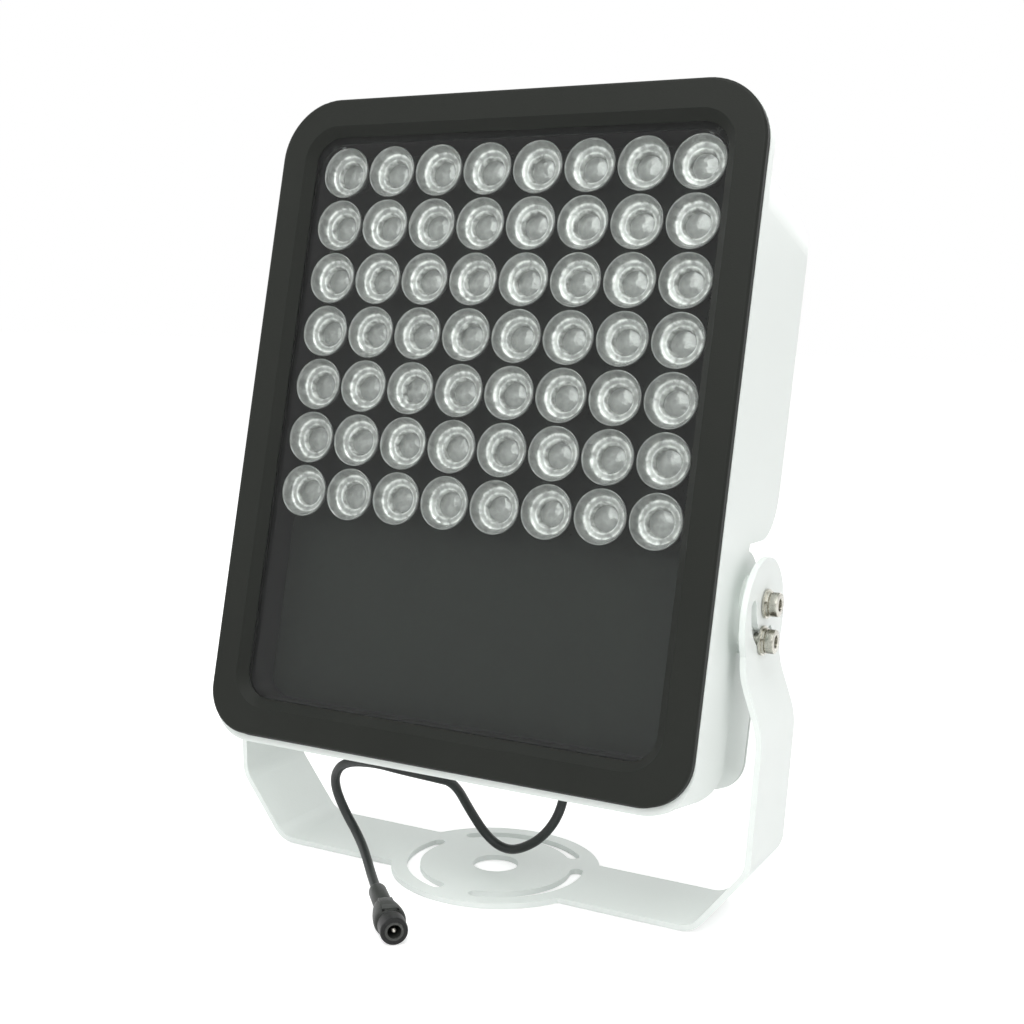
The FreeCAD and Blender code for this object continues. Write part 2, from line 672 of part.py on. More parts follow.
pocket(housing, tray, f"{BOARD_BACK} - {LEDGE}")
box_room = front_sketch(housing, "box_room", FLOOR_BACK)
outline(box_room, f"{BOX_HALF} - Sizes.box_wall", f"{BOX_LOW} + Sizes.box_wall",
        "Sizes.box_above - Sizes.box_wall", "Sizes.box_corner_radius - Sizes.box_wall",
        "Sizes.box_corner_radius - Sizes.box_wall")
pocket(housing, box_room, f"Sizes.box_behind - {FLOOR_BACK} + 1")
fin_gap = front_sketch(housing, "fin_gap", FLOOR_BACK)
GAP_CENTRE = f"(-(Sizes.fin_gap_count - 1) / 2 * {FIN_STEP})"
GAP_HALF = f"(({FIN_STEP} - Sizes.fin_thickness) / 2)"
rounded_path(fin_gap, [
    (f"{GAP_CENTRE} - {GAP_HALF}", "Sizes.fin_gap_low", None),
    (f"{GAP_CENTRE} + {GAP_HALF}", "Sizes.fin_gap_low", None),
    (f"{GAP_CENTRE} + {GAP_HALF}", f"{BODY_TOP} + 5", None),
    (f"{GAP_CENTRE} - {GAP_HALF}", f"{BODY_TOP} + 5", None),
])
first_gap = pocket(housing, fin_gap, f"Sizes.fins_behind - {FLOOR_BACK} + 5")
repeat(housing, [first_gap], "X_Axis", FIN_STEP, "Sizes.fin_gap_count")

# Posts in the driver box for the cover screws and the driver board, and the openings for cables
COVER_SCREWS = [
    (across, along)
    for across in (f"{BOX_HALF} - Sizes.cover_screw_inset", "0 * Sizes.cover_screw_inset",
                   f"Sizes.cover_screw_inset - {BOX_HALF}")
    for along in ("Sizes.box_above - Sizes.cover_screw_inset", f"{BOX_LOW} + Sizes.cover_screw_inset")
]
DRIVER_POSTS = [
    (f"{side} * (Sizes.driver_width / 2 - Sizes.standoff_inset)", f"-Sizes.driver_low + {rise}")
    for side in ("1", "-1")
    for rise in ("Sizes.standoff_inset", "Sizes.driver_rise - Sizes.standoff_inset")
]
cover_posts = front_sketch(housing, "cover_posts", FLOOR_BACK)
for across, along in COVER_SCREWS:
    circle(cover_posts, across, along, "Sizes.screw_boss_radius")
pad(housing, cover_posts, f"{COVER_FRONT} - {FLOOR_BACK}")
post_holes = front_sketch(housing, "post_holes", f"{COVER_FRONT} - Sizes.screw_depth")
for across, along in COVER_SCREWS:
    circle(post_holes, across, along, "Sizes.screw_radius + Sizes.thread_clearance")
pocket(housing, post_holes, "Sizes.screw_depth + 1")
driver_posts = front_sketch(housing, "driver_posts", FLOOR_BACK)
for across, along in DRIVER_POSTS:
    circle(driver_posts, across, along, "Sizes.standoff_radius")
pad(housing, driver_posts, "Sizes.standoff_height")
wire_hole = front_sketch(housing, "wire_hole", BOARD_BACK)
circle(wire_hole, "0 * Sizes.wire_hole_radius", f"{BOX_LOW} / 2", "Sizes.wire_hole_radius")
pocket(housing, wire_hole, "Sizes.floor_thickness")
gland_hole = sketch_on(housing, "gland_hole", "XY_Plane", f"{GLAND_FACE} - 2")
circle(gland_hole, "Sizes.gland_side", "Sizes.gland_behind", "Sizes.gland_stem_radius + Sizes.gland_clearance")
pocket(housing, gland_hole, "Sizes.box_wall + 3", back=False)

# Pivot bosses on both sides, each tapped for its pivot bolt and its lock bolt
boss = sketch_on(housing, "boss", "YZ_Plane", f"{BOX_HALF} - Sizes.box_wall")
circle(boss, "0 * Sizes.boss_radius", "0 * Sizes.boss_radius", "Sizes.boss_radius")
boss_pads = [pad(housing, boss, f"{FINS_HALF} - {BOX_HALF} + Sizes.box_wall", back=False)]
for name, along, radius in (("pivot_pad", "0 * Sizes.lock_radius", "Sizes.pivot_pad_radius"),
                            ("lock_pad", "-Sizes.lock_radius", "Sizes.lock_pad_radius")):
    raised = sketch_on(housing, name, "YZ_Plane", f"{FINS_HALF} - 1")
    circle(raised, "0 * Sizes.lock_radius", along, radius)
    boss_pads.append(pad(housing, raised, f"{BOSS_FACE} - {FINS_HALF} + 1", back=False))
threads = sketch_on(housing, "threads", "YZ_Plane", BOSS_FACE)
for along in ("0 * Sizes.lock_radius", "-Sizes.lock_radius"):
    circle(threads, "0 * Sizes.lock_radius", along, "Sizes.bolt_radius + Sizes.thread_clearance")
thread_holes = pocket(housing, threads, "Sizes.bolt_grip")
mirror(housing, [*boss_pads, thread_holes])

# Screws that hold the bezel come from behind, through the flange above the shell
BEZEL_SCREW_LINE = f"(({BODY_TOP} + {BEZEL_TOP}) / 2 + Sizes.flange_edge)"
BEZEL_SCREWS = [(f"{place} * {FINS_HALF}", BEZEL_SCREW_LINE) for place in ("-0.6", "-0.2", "0.2", "0.6")]
flange_holes = front_sketch(housing, "flange_holes", GLASS_FRONT)
for across, along in BEZEL_SCREWS:
    circle(flange_holes, across, along, "Sizes.screw_radius + Sizes.running_gap")
pocket(housing, flange_holes, "Sizes.flange_thickness")

# Front bezel: a flat frame with a sloped inner lip and a rounded outer edge
bezel = body("front_bezel")
frame_sketch = front_sketch(bezel, "frame", "-Sizes.face_ahead")
outline(frame_sketch, BEZEL_HALF, BEZEL_LOW, BEZEL_TOP, "Sizes.bezel_low_radius", "Sizes.bezel_top_radius")
outline(frame_sketch, WINDOW_HALF, WINDOW_LOW, WINDOW_TOP, "Sizes.window_radius", "Sizes.window_radius")
frame = pad(bezel, frame_sketch, "Sizes.bezel_thickness")


def on_front(at):
    return abs(at.y + size("face_ahead")) < 0.01


def in_window(at):
    return abs(at.x) < number(WINDOW_HALF) + 0.5 and number(WINDOW_LOW) - 0.5 < at.z < number(WINDOW_TOP) + 0.5


lip = chamfer(bezel, frame, lambda at, edge: on_front(at) and in_window(at), "Sizes.window_slope")


def on_rim(at):
    reach = size("bezel_top_radius") / 3
    return abs(at.x) > number(BEZEL_HALF) - reach or not number(BEZEL_LOW) + reach < at.z < number(BEZEL_TOP) - reach


fillet(bezel, lip, lambda at, edge: on_front(at) and on_rim(at), "Sizes.bezel_edge_round")
bezel_holes = front_sketch(bezel, "holes", f"{GLASS_FRONT} - Sizes.bezel_screw_depth")
for across, along in BEZEL_SCREWS:
    circle(bezel_holes, across, along, "Sizes.screw_radius + Sizes.thread_clearance")
pocket(bezel, bezel_holes, "Sizes.bezel_screw_depth + 1")

# Glass, and the flat seal that it presses on
glass = body("front_glass")
pane = front_sketch(glass, "pane", GLASS_FRONT)
outline(pane, f"{WINDOW_HALF} + Sizes.glass_overlap", f"{WINDOW_LOW} - Sizes.glass_overlap",
        f"{WINDOW_TOP} + Sizes.glass_overlap", "Sizes.window_radius + Sizes.glass_overlap",
        "Sizes.window_radius + Sizes.glass_overlap")
pad(glass, pane, "Sizes.glass_thickness")
glass_seal = body("glass_seal")
seal_ring = front_sketch(glass_seal, "ring", GLASS_BACK)
outline(seal_ring, f"{WINDOW_HALF} + Sizes.glass_overlap", f"{WINDOW_LOW} - Sizes.glass_overlap",
        f"{WINDOW_TOP} + Sizes.glass_overlap", "Sizes.window_radius + Sizes.glass_overlap",
        "Sizes.window_radius + Sizes.glass_overlap")
outline(seal_ring, f"{BOARD_HALF} + Sizes.board_edge_gap", f"{BOARD_LOW} - Sizes.board_edge_gap",
        f"{BOARD_TOP} + Sizes.board_edge_gap", "Sizes.board_low_radius + Sizes.board_edge_gap",
        "Sizes.board_top_radius + Sizes.board_edge_gap")
pad(glass_seal, seal_ring, "Sizes.seal_thickness")

# LED board and the emitters on it
board = body("led_board")
board_outline = front_sketch(board, "outline", BOARD_FRONT)
outline(board_outline, BOARD_HALF, BOARD_LOW, BOARD_TOP, "Sizes.board_low_radius", "Sizes.board_top_radius")
pad(board, board_outline, "Sizes.board_thickness")
emitters = body("led_emitters")
emitter_column = front_sketch(emitters, "column", LENS_BACK)
for row in range(int(size("lens_rows"))):
    chip_low = f"{FIRST_ROW} + {row} * Sizes.lens_spacing - Sizes.emitter_size / 2"
    chip_high = f"{FIRST_ROW} + {row} * Sizes.lens_spacing + Sizes.emitter_size / 2"
    rounded_path(emitter_column, [
        (f"{FIRST_COLUMN} - Sizes.emitter_size / 2", chip_low, None),
        (f"{FIRST_COLUMN} + Sizes.emitter_size / 2", chip_low, None),
        (f"{FIRST_COLUMN} + Sizes.emitter_size / 2", chip_high, None),
        (f"{FIRST_COLUMN} - Sizes.emitter_size / 2", chip_high, None),
    ])
first_emitters = pad(emitters, emitter_column, "Sizes.emitter_height")
repeat(emitters, [first_emitters], "X_Axis", "Sizes.lens_spacing", "Sizes.lens_columns")

# Collimator lenses: a flared cup of clear plastic over each emitter, with a round well in its front
for row in range(int(size("lens_rows"))):
    lens_row = body(f"lens_row_{row + 1}")
    height = f"({FIRST_ROW} + {row} * Sizes.lens_spacing)"
    cup = sketch_on(lens_row, "cup", "XY_Plane", height)
    well_wall = f"({FIRST_COLUMN} + Sizes.lens_recess_radius)"
    rounded_path(cup, [
        (FIRST_COLUMN, LENS_BACK, None),
        (f"{FIRST_COLUMN} + Sizes.lens_foot_radius", LENS_BACK, None),
        (f"{FIRST_COLUMN} + {LENS_RIM}", LENS_FRONT, None),
        (well_wall, LENS_FRONT, None),
        (f"{FIRST_COLUMN} + Sizes.lens_recess_floor", f"{LENS_FRONT} + Sizes.lens_recess_depth", None),
        (FIRST_COLUMN, f"{LENS_FRONT} + Sizes.lens_recess_depth", None),
    ])
    axis = cup.addGeometry(Part.LineSegment(Vector(number(FIRST_COLUMN), 0, 0),
                                            Vector(number(FIRST_COLUMN), 10, 0)), True)
    cup.addConstraint(Sketcher.Constraint("Vertical", axis))
    place_across(cup, axis, 1, FIRST_COLUMN)
    first_lens = revolve(lens_row, cup, "Axis0")
    repeat(lens_row, [first_lens], "X_Axis", "Sizes.lens_spacing", "Sizes.lens_columns")

# Driver box cover with its seal and screws
cover_seal = body("cover_seal")
cover_seal_ring = front_sketch(cover_seal, "ring", "Sizes.box_behind")
outline(cover_seal_ring, f"{BOX_HALF} - 1", f"{BOX_LOW} + 1", "Sizes.box_above - 1",
        "Sizes.box_corner_radius - 1", "Sizes.box_corner_radius - 1")
outline(cover_seal_ring, f"{BOX_HALF} - 1 - Sizes.cover_seal_width",
        f"{BOX_LOW} + 1 + Sizes.cover_seal_width", "Sizes.box_above - 1 - Sizes.cover_seal_width",
        "Sizes.box_corner_radius - 1 - Sizes.cover_seal_width",
        "Sizes.box_corner_radius - 1 - Sizes.cover_seal_width")
pad(cover_seal, cover_seal_ring, "Sizes.cover_seal_thickness")
cover = body("driver_cover")
cover_plate = front_sketch(cover, "plate", COVER_FRONT)
outline(cover_plate, BOX_HALF, BOX_LOW, "Sizes.box_above", "Sizes.box_corner_radius", "Sizes.box_corner_radius")
cover_pad = pad(cover, cover_plate, "Sizes.cover_thickness")
COVER_BACK = f"({COVER_FRONT} + Sizes.cover_thickness)"
fillet(cover, cover_pad, lambda at, edge: abs(at.y - number(COVER_BACK)) < 0.01, "Sizes.cover_round")
cover_holes = front_sketch(cover, "holes", COVER_FRONT)
for across, along in COVER_SCREWS:
    circle(cover_holes, across, along, "Sizes.screw_radius + Sizes.running_gap")
pocket(cover, cover_holes, "Sizes.cover_thickness")


def small_screws(name, places, seat, shank):
    """Pan-head screws driven from behind: heads on a seat, shanks reaching forward from it."""
    screws = body(name)
    heads = front_sketch(screws, "heads", seat)
    shanks = front_sketch(screws, "shanks", f"{seat} - ({shank})")
    slots = front_sketch(screws, "slots", f"{seat} + Sizes.screw_head_height / 2")
    for across, along in places:
        circle(heads, across, along, "Sizes.screw_head_radius")
        circle(shanks, across, along, "Sizes.screw_radius")
        circle(slots, across, along, "Sizes.screw_radius * 0.7")
    pad(screws, heads, "Sizes.screw_head_height")
    pad(screws, shanks, shank)
    pocket(screws, slots, "Sizes.screw_head_height")


small_screws("cover_screws", COVER_SCREWS, COVER_BACK,
             "Sizes.cover_thickness + Sizes.screw_depth - Sizes.thread_end")
small_screws("bezel_screws", BEZEL_SCREWS, FLANGE_BACK,
             "Sizes.flange_thickness + Sizes.bezel_screw_depth - Sizes.thread_end / 2")

# Driver board on its posts, with its transformer, capacitors and terminal block
driver = body("driver_board")
DRIVER_FACE = f"({FLOOR_BACK} + Sizes.standoff_height)"
DRIVER_TOP = f"({DRIVER_FACE} + Sizes.driver_thickness)"
driver_plate = front_sketch(driver, "plate", DRIVER_FACE)
rounded_path(driver_plate, [
    ("-Sizes.driver_width / 2", "-Sizes.driver_low", None),
    ("Sizes.driver_width / 2", "-Sizes.driver_low", None),
    ("Sizes.driver_width / 2", "-Sizes.driver_low + Sizes.driver_rise", None),
    ("-Sizes.driver_width / 2", "-Sizes.driver_low + Sizes.driver_rise", None),
])
pad(driver, driver_plate, "Sizes.driver_thickness")
coil = front_sketch(driver, "coil", DRIVER_TOP)
rounded_path(coil, [
    ("-Sizes.driver_width * 0.32", "-Sizes.driver_low + Sizes.driver_rise * 0.3", "Sizes.thread_end"),
    ("-Sizes.driver_width * 0.08", "-Sizes.driver_low + Sizes.driver_rise * 0.3", "Sizes.thread_end"),
    ("-Sizes.driver_width * 0.08", "-Sizes.driver_low + Sizes.driver_rise * 0.8", "Sizes.thread_end"),
    ("-Sizes.driver_width * 0.32", "-Sizes.driver_low + Sizes.driver_rise * 0.8", "Sizes.thread_end"),
])
pad(driver, coil, "Sizes.standoff_height * 1.5")
cans = front_sketch(driver, "cans", DRIVER_TOP)
for place in ("0.08", "0.24"):
    circle(cans, f"Sizes.driver_width * {place}", "-Sizes.driver_low + Sizes.driver_rise * 0.65",
           "Sizes.standoff_radius * 2")
pad(driver, cans, "Sizes.standoff_height * 1.7")

# Cable gland through the floor of the driver box, its cap nut, and the piece of lead inside them
gland = body("cable_gland")
gland_stem = sketch_on(gland, "stem", "XY_Plane", f"{GLAND_FACE} + Sizes.box_wall + Sizes.gland_stem_inside")
circle(gland_stem, "Sizes.gland_side", "Sizes.gland_behind", "Sizes.gland_stem_radius")
pad(gland, gland_stem, "Sizes.box_wall + Sizes.gland_stem_inside", back=True)
gland_hex = sketch_on(gland, "hex", "XY_Plane", GLAND_FACE)
HEX_REACH = "(Sizes.gland_hex_across / 2 / cos(30 deg))"
rounded_path(gland_hex, [
    (f"Sizes.gland_side + {HEX_REACH} * cos({60 * side} deg)",
     f"Sizes.gland_behind + {HEX_REACH} * sin({60 * side} deg)", None) for side in range(6)
])
pad(gland, gland_hex, "Sizes.gland_hex_height", back=True)
gland_bore = sketch_on(gland, "bore", "XY_Plane", GLAND_NUT_TOP)
circle(gland_bore, "Sizes.gland_side", "Sizes.gland_behind", "Sizes.lead_radius + Sizes.lead_clearance")
pocket(gland, gland_bore, "Sizes.gland_hex_height + Sizes.box_wall + Sizes.gland_stem_inside + 1", back=False)
nut = body("gland_nut")
dome = sketch_on(nut, "dome", "XZ_Plane", "-Sizes.gland_behind")
rounded_path(dome, [
    ("Sizes.gland_side + Sizes.lead_radius + Sizes.lead_clearance", GLAND_NUT_TOP, None),
    ("Sizes.gland_side + Sizes.gland_nut_radius", GLAND_NUT_TOP, None),
    ("Sizes.gland_side + Sizes.gland_nut_radius", f"{GLAND_NUT_TOP} - Sizes.gland_nut_height / 2", None),
    ("Sizes.gland_side + Sizes.gland_nut_mouth_radius", GLAND_MOUTH, None),
    ("Sizes.gland_side + Sizes.lead_radius + Sizes.lead_clearance", GLAND_MOUTH, None),
])
dome_axis = dome.addGeometry(Part.LineSegment(Vector(size("gland_side"), 0, 0),
                                              Vector(size("gland_side"), 10, 0)), True)
dome.addConstraint(Sketcher.Constraint("Vertical", dome_axis))
place_across(dome, dome_axis, 1, "Sizes.gland_side")
revolve(nut, dome, "Axis0")
lead_entry = body("lead_entry")
entry = sketch_on(lead_entry, "entry", "XY_Plane", GLAND_MOUTH)
circle(entry, "Sizes.gland_side", "Sizes.gland_behind", "Sizes.lead_radius")
pad(lead_entry, entry, f"{GLAND_FACE} - {GLAND_MOUTH} + Sizes.box_wall + Sizes.gland_stem_inside + Sizes.lead_inside",
    back=False)


# Socket-head bolts that clamp the head between the ears, with a spring washer and a flat washer under each head
WASHER_BACK = f"({WASHER_FACE} + Sizes.flat_washer_thickness)"
HEAD_BASE = f"({WASHER_BACK} + Sizes.spring_washer_thickness)"
HEAD_END = f"({HEAD_BASE} + Sizes.bolt_head_height)"
BOLT_TIP = f"({BOSS_FACE} - Sizes.bolt_grip + Sizes.thread_end)"


def ear_bolts(name, along):
    bolts = body(name)
    profile = sketch_on(bolts, "profile", "XZ_Plane")
    rounded_path(profile, [
        (BOLT_TIP, along, None),
        (BOLT_TIP, f"{along} + Sizes.bolt_radius", None),
        (HEAD_BASE, f"{along} + Sizes.bolt_radius", None),
        (HEAD_BASE, f"{along} + Sizes.bolt_head_radius", None),
        (HEAD_END, f"{along} + Sizes.bolt_head_radius", None),
        (HEAD_END, along, None),
    ])
    axis = profile.addGeometry(Part.LineSegment(Vector(0, number(along), 0), Vector(10, number(along), 0)), True)
    profile.addConstraint(Sketcher.Constraint("Horizontal", axis))
    place_along(profile, axis, 1, along)
    turned = revolve(bolts, profile, "Axis0")
    socket = sketch_on(bolts, "socket", "YZ_Plane", HEAD_END)
    reach = "(Sizes.bolt_hex_across / 2 / cos(30 deg))"
    rounded_path(socket, [
        (f"{reach} * cos({60 * side} deg)", f"{along} + {reach} * sin({60 * side} deg)", None) for side in range(6)
    ])
    hexagon = pocket(bolts, socket, "Sizes.bolt_hex_depth")
    mirror(bolts, [turned, hexagon])


PIVOT_LINE = "(0 * Sizes.lock_radius)"
LOCK_LINE = "(-Sizes.lock_radius)"
ear_bolts("pivot_bolts", PIVOT_LINE)
ear_bolts("lock_bolts", LOCK_LINE)


def ear_washers(name, face, thickness, radius, split=None):
    """Washers on the pivot line and the lock line, both sides; split ones have a gap cut in the ring."""
    washers = body(name)
    rings = sketch_on(washers, "rings", "YZ_Plane", face)
    for along in (PIVOT_LINE, LOCK_LINE):
        circle(rings, "0 * Sizes.lock_radius", along, radius)
        circle(rings, "0 * Sizes.lock_radius", along, "Sizes.bolt_radius + Sizes.thread_clearance")
    features = [pad(washers, rings, thickness, back=False)]
    if split:
        gaps = sketch_on(washers, "gaps", "YZ_Plane", f"{face} + {thickness}")
        for along in (PIVOT_LINE, LOCK_LINE):
            rounded_path(gaps, [
                (f"-{radius} - 1", f"{along} - {split} / 2", None),
                ("-Sizes.bolt_radius / 2", f"{along} - {split} / 2", None),
                ("-Sizes.bolt_radius / 2", f"{along} + {split} / 2", None),
                (f"-{radius} - 1", f"{along} + {split} / 2", None),
            ])
        features.append(pocket(washers, gaps, thickness))
    mirror(washers, features)


ear_washers("flat_washers", WASHER_FACE, "Sizes.flat_washer_thickness", "Sizes.flat_washer_radius")
ear_washers("spring_washers", WASHER_BACK, "Sizes.spring_washer_thickness", "Sizes.spring_washer_radius",
            "Sizes.spring_washer_gap")

# Power jack on the floor: a round moulding with two flats, a lined socket in its front and a pin in the socket


def on_floor(part):
    """Lays a piece that is drawn along X on the floor, its front end at the jack's place and heading."""
    part.setExpression("Placement.Rotation.Angle", "Sizes.jack_heading")
    part.setExpression("Placement.Base.x",
                       "Sizes.jack_front_side - Sizes.jack_length * cos(Sizes.jack_heading * 1 deg)")
    part.setExpression("Placement.Base.y",
                       "-Sizes.jack_front_ahead - Sizes.jack_length * sin(Sizes.jack_heading * 1 deg)")
    part.setExpression("Placement.Base.z", "Sizes.jack_flat")
    return part


SOCKET_END = "(Sizes.jack_length - Sizes.jack_socket_depth)"
jack = on_floor(body("jack_body", tilted=False))
jack_profile = sketch_on(jack, "profile", "XZ_Plane")
rounded_path(jack_profile, [
    ("0 * Sizes.jack_length", "0 * Sizes.jack_length", None),
    ("0 * Sizes.jack_length", "Sizes.jack_neck_radius", None),
    ("Sizes.jack_neck_length", "Sizes.jack_neck_radius", None),
    ("Sizes.jack_neck_length", "Sizes.jack_neck_radius * 1.25", None),
    ("Sizes.jack_neck_length + Sizes.jack_taper_length", "Sizes.jack_shoulder_radius", None),
    ("Sizes.jack_length - Sizes.jack_front_length", "Sizes.jack_shoulder_radius", None),
    ("Sizes.jack_length - Sizes.jack_front_length", "Sizes.jack_front_radius", None),
    ("Sizes.jack_length", "Sizes.jack_front_radius", None),
    ("Sizes.jack_length", "Sizes.jack_socket_radius", None),
    (SOCKET_END, "Sizes.jack_socket_radius", None),
    (SOCKET_END, "0 * Sizes.jack_length", None),
])
revolve(jack, jack_profile, "H_Axis")
flats = sketch_on(jack, "flats", "XZ_Plane")
for side in ("1", "-1"):
    edge = f"{side} * Sizes.jack_flat"
    far = f"{side} * (Sizes.jack_shoulder_radius + 2)"
    rounded_path(flats, [("-1 * Sizes.thread_end", edge, None), ("Sizes.jack_length + 1", edge, None),
                         ("Sizes.jack_length + 1", far, None), ("-1 * Sizes.thread_end", far, None)])
pocket(jack, flats, through=True)
liner = on_floor(body("jack_liner", tilted=False))
liner_ring = sketch_on(liner, "ring", "YZ_Plane", SOCKET_END)
circle(liner_ring, "0 * Sizes.jack_length", "0 * Sizes.jack_length", "Sizes.jack_socket_radius")
circle(liner_ring, "0 * Sizes.jack_length", "0 * Sizes.jack_length",
       "Sizes.jack_socket_radius - Sizes.jack_liner_wall")
pad(liner, liner_ring, "Sizes.jack_socket_depth", back=False)
pin = on_floor(body("jack_pin", tilted=False))
pin_round = sketch_on(pin, "round", "YZ_Plane", SOCKET_END)
circle(pin_round, "0 * Sizes.jack_length", "0 * Sizes.jack_length", "Sizes.jack_pin_radius")
pin_pad = pad(pin, pin_round, "Sizes.jack_pin_length", back=False)
pin_front = number(f"{SOCKET_END} + Sizes.jack_pin_length")
chamfer(pin, pin_pad, lambda at, edge: abs(at.x - pin_front) < 0.01, "Sizes.jack_pin_radius / 2")
doc.recompute()

# Lead: from the gland down to the foot, back up behind the lower edge of the head, over to the left in a loop
# and down to the jack. Straight runs joined by tangent arcs.
tilt = math.radians(-size("rest_tilt"))
gland_exit = Vector(0, math.sin(tilt), -math.cos(tilt))
mouth = Vector(size("gland_side"), size("gland_behind") * math.cos(tilt) - number(GLAND_MOUTH) * math.sin(tilt),
               size("gland_behind") * math.sin(tilt) + number(GLAND_MOUTH) * math.cos(tilt) + size("pivot_height"))
heading = math.radians(size("jack_heading"))
neck = jack.Placement.Base
along_jack = Vector(math.cos(heading), math.sin(heading), 0)
route = [mouth + gland_exit * size("lead_clearance"), mouth + gland_exit * 9.5]
route += [Vector(*point) for point in [
    (26.1, -4.0, 20.9), (12.8, -2.9, 11.9), (3.4, -1.9, 11.1), (-4.9, -1.5, 15.8), (-11.1, -4.9, 26.5),
    (-13.3, -16.7, 43.3), (-17.1, -27.3, 47.7), (-29.7, -39.2, 52.8), (-40.5, -41.6, 54.6),
    (-58.2, -38.7, 51.4), (-66.4, -34.8, 43.4), (-67.7, -31.7, 34.2), (-62.3, -30.7, 23.2),
    (-55.9, -32.7, 17.4), (-46.7, -39.2, 11.9)]]
route += [neck - along_jack * 13.0, neck]


def tangent_path(points):
    """Straight runs with the largest arcs that the shorter run at each point allows."""
    edges, radii = [], []
    begin = points[0]
    for before, at, after in zip(points, points[1:], points[2:]):
        back, ahead = before - at, after - at
        shorter = min(back.Length, ahead.Length)
        turn = math.pi - back.getAngle(ahead)
        radius = 0.45 * shorter / math.tan(turn / 2)
        radii.append((radius, math.degrees(turn)))
        back.normalize()
        ahead.normalize()
        first, last = at + back * (0.45 * shorter), at + ahead * (0.45 * shorter)
        centre = at + (back + ahead).normalize() * (radius / math.cos(turn / 2))
        middle = centre + (at - centre).normalize() * radius
        edges.append(Part.LineSegment(begin, first).toShape())
        edges.append(Part.Arc(first, middle, last).toShape())
        begin = last
    edges.append(Part.LineSegment(begin, points[-1]).toShape())
    return Part.Wire(edges), radii


lead_path, bend_radii = tangent_path(route)
section = Part.Wire(Part.makeCircle(size("lead_radius"), route[0], route[1] - route[0]))
lead = doc.addObject("Part::Feature", "lead")
lead.Label = "lead"
lead.Shape = lead_path.makePipeShell([section], True, False, 2)
doc.recompute()

print("lead length", round(lead_path.Length, 1), "mm")
print("lead volume over section times length",
      round(lead.Shape.Volume / (math.pi * size("lead_radius") ** 2 * lead_path.Length), 4))
for (radius, turn), point, run in zip(bend_radii, route[1:], zip(route, route[1:])):
    print("bend radius", round(radius, 1), "turn", round(turn, 1), "run", round((run[1] - run[0]).Length, 1),
          "at", tuple(round(c, 1) for c in point))

# Every piece is sound before any file is written
for item in doc.Objects:
    if "Invalid" in item.State or "Error" in item.State:
        raise ValueError(f"{item.Name} failed: {item.State}")
pieces = [item for item in doc.Objects if item.TypeId == "PartDesign::Body" or item.Name == "lead"]
for piece in pieces:
    if piece.Shape.isNull() or not piece.Shape.isValid() or not piece.Shape.Solids:
        raise ValueError(f"{piece.Label} has no sound shape")
os.makedirs("parts", exist_ok=True)
for piece in pieces:
    piece.Shape.exportStep(f"parts/{piece.Label}.step")
    print(piece.Label, len(piece.Shape.Solids), "solids", round(piece.Shape.Volume / 1000, 2), "cm3")
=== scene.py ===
import math
import bmesh
import bpy
from mathutils import Matrix, Vector


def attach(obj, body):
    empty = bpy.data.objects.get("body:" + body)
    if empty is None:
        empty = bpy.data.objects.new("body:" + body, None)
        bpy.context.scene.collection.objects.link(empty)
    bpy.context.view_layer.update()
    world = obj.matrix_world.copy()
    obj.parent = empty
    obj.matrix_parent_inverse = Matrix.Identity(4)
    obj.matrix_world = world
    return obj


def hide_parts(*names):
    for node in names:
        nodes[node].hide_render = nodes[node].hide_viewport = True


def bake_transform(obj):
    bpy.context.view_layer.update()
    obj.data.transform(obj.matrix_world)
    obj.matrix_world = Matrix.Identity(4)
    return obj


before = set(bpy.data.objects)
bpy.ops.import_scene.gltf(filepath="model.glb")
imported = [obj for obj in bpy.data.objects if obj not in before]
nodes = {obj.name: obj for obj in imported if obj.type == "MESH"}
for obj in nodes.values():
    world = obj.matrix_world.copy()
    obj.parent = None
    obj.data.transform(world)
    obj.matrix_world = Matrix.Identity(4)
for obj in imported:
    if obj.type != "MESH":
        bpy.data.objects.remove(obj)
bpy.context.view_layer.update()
scene = bpy.context.scene


# Camera. It stands some 0.6 m away, to the lamp's right and a little above the
# middle of its face, and looks slightly down, as the photograph does.
camera_place = Vector((0.29693, -0.56279, 0.24378))
camera_right = Vector((0.88483, 0.46514, 0.02683))
camera_up = Vector((-0.09116, 0.11635, 0.98902))
camera_back = Vector((0.45691, -0.87756, 0.14535))
camera_data = bpy.data.cameras.new("studio_camera")
camera_data.sensor_width = 36
camera_data.lens = 50.39
camera_data.shift_x = 0.0003
camera_data.shift_y = 0.03496
camera = bpy.data.objects.new("studio_camera", camera_data)
scene.collection.objects.link(camera)
camera.matrix_world = Matrix.Translation(camera_place) @ Matrix(
    (camera_right, camera_up, camera_back)).transposed().to_4x4()
scene.camera = camera


# Supply lead. A limp round two-core lead, 4.3 mm thick, in soft black PVC. It
# leaves the gland under the head, dips over the ring of the foot, rises in a
# loop by the left arm and comes down to the jack that lies on the table.
lead_diameter = 0.0043
lead_route = [
    (0.0344, -0.000656, 0.044042), (0.0344, -0.002653, 0.034959),
    (0.0261, -0.0040, 0.0209), (0.0128, -0.0029, 0.0119),
    (0.0034, -0.0019, 0.0111), (-0.0049, -0.0015, 0.0158),
    (-0.0111, -0.0049, 0.0265), (-0.0133, -0.0167, 0.0433),
    (-0.0171, -0.0273, 0.0477), (-0.0297, -0.0392, 0.0528),
    (-0.0405, -0.0416, 0.0546), (-0.0582, -0.0387, 0.0514),
    (-0.0664, -0.0348, 0.0434), (-0.0677, -0.0317, 0.0342),
    (-0.0623, -0.0307, 0.0232), (-0.0559, -0.0327, 0.0174),
    (-0.0467, -0.0392, 0.0119), (-0.032541, -0.054041, 0.0057),
    (-0.023842, -0.063702, 0.0057)]

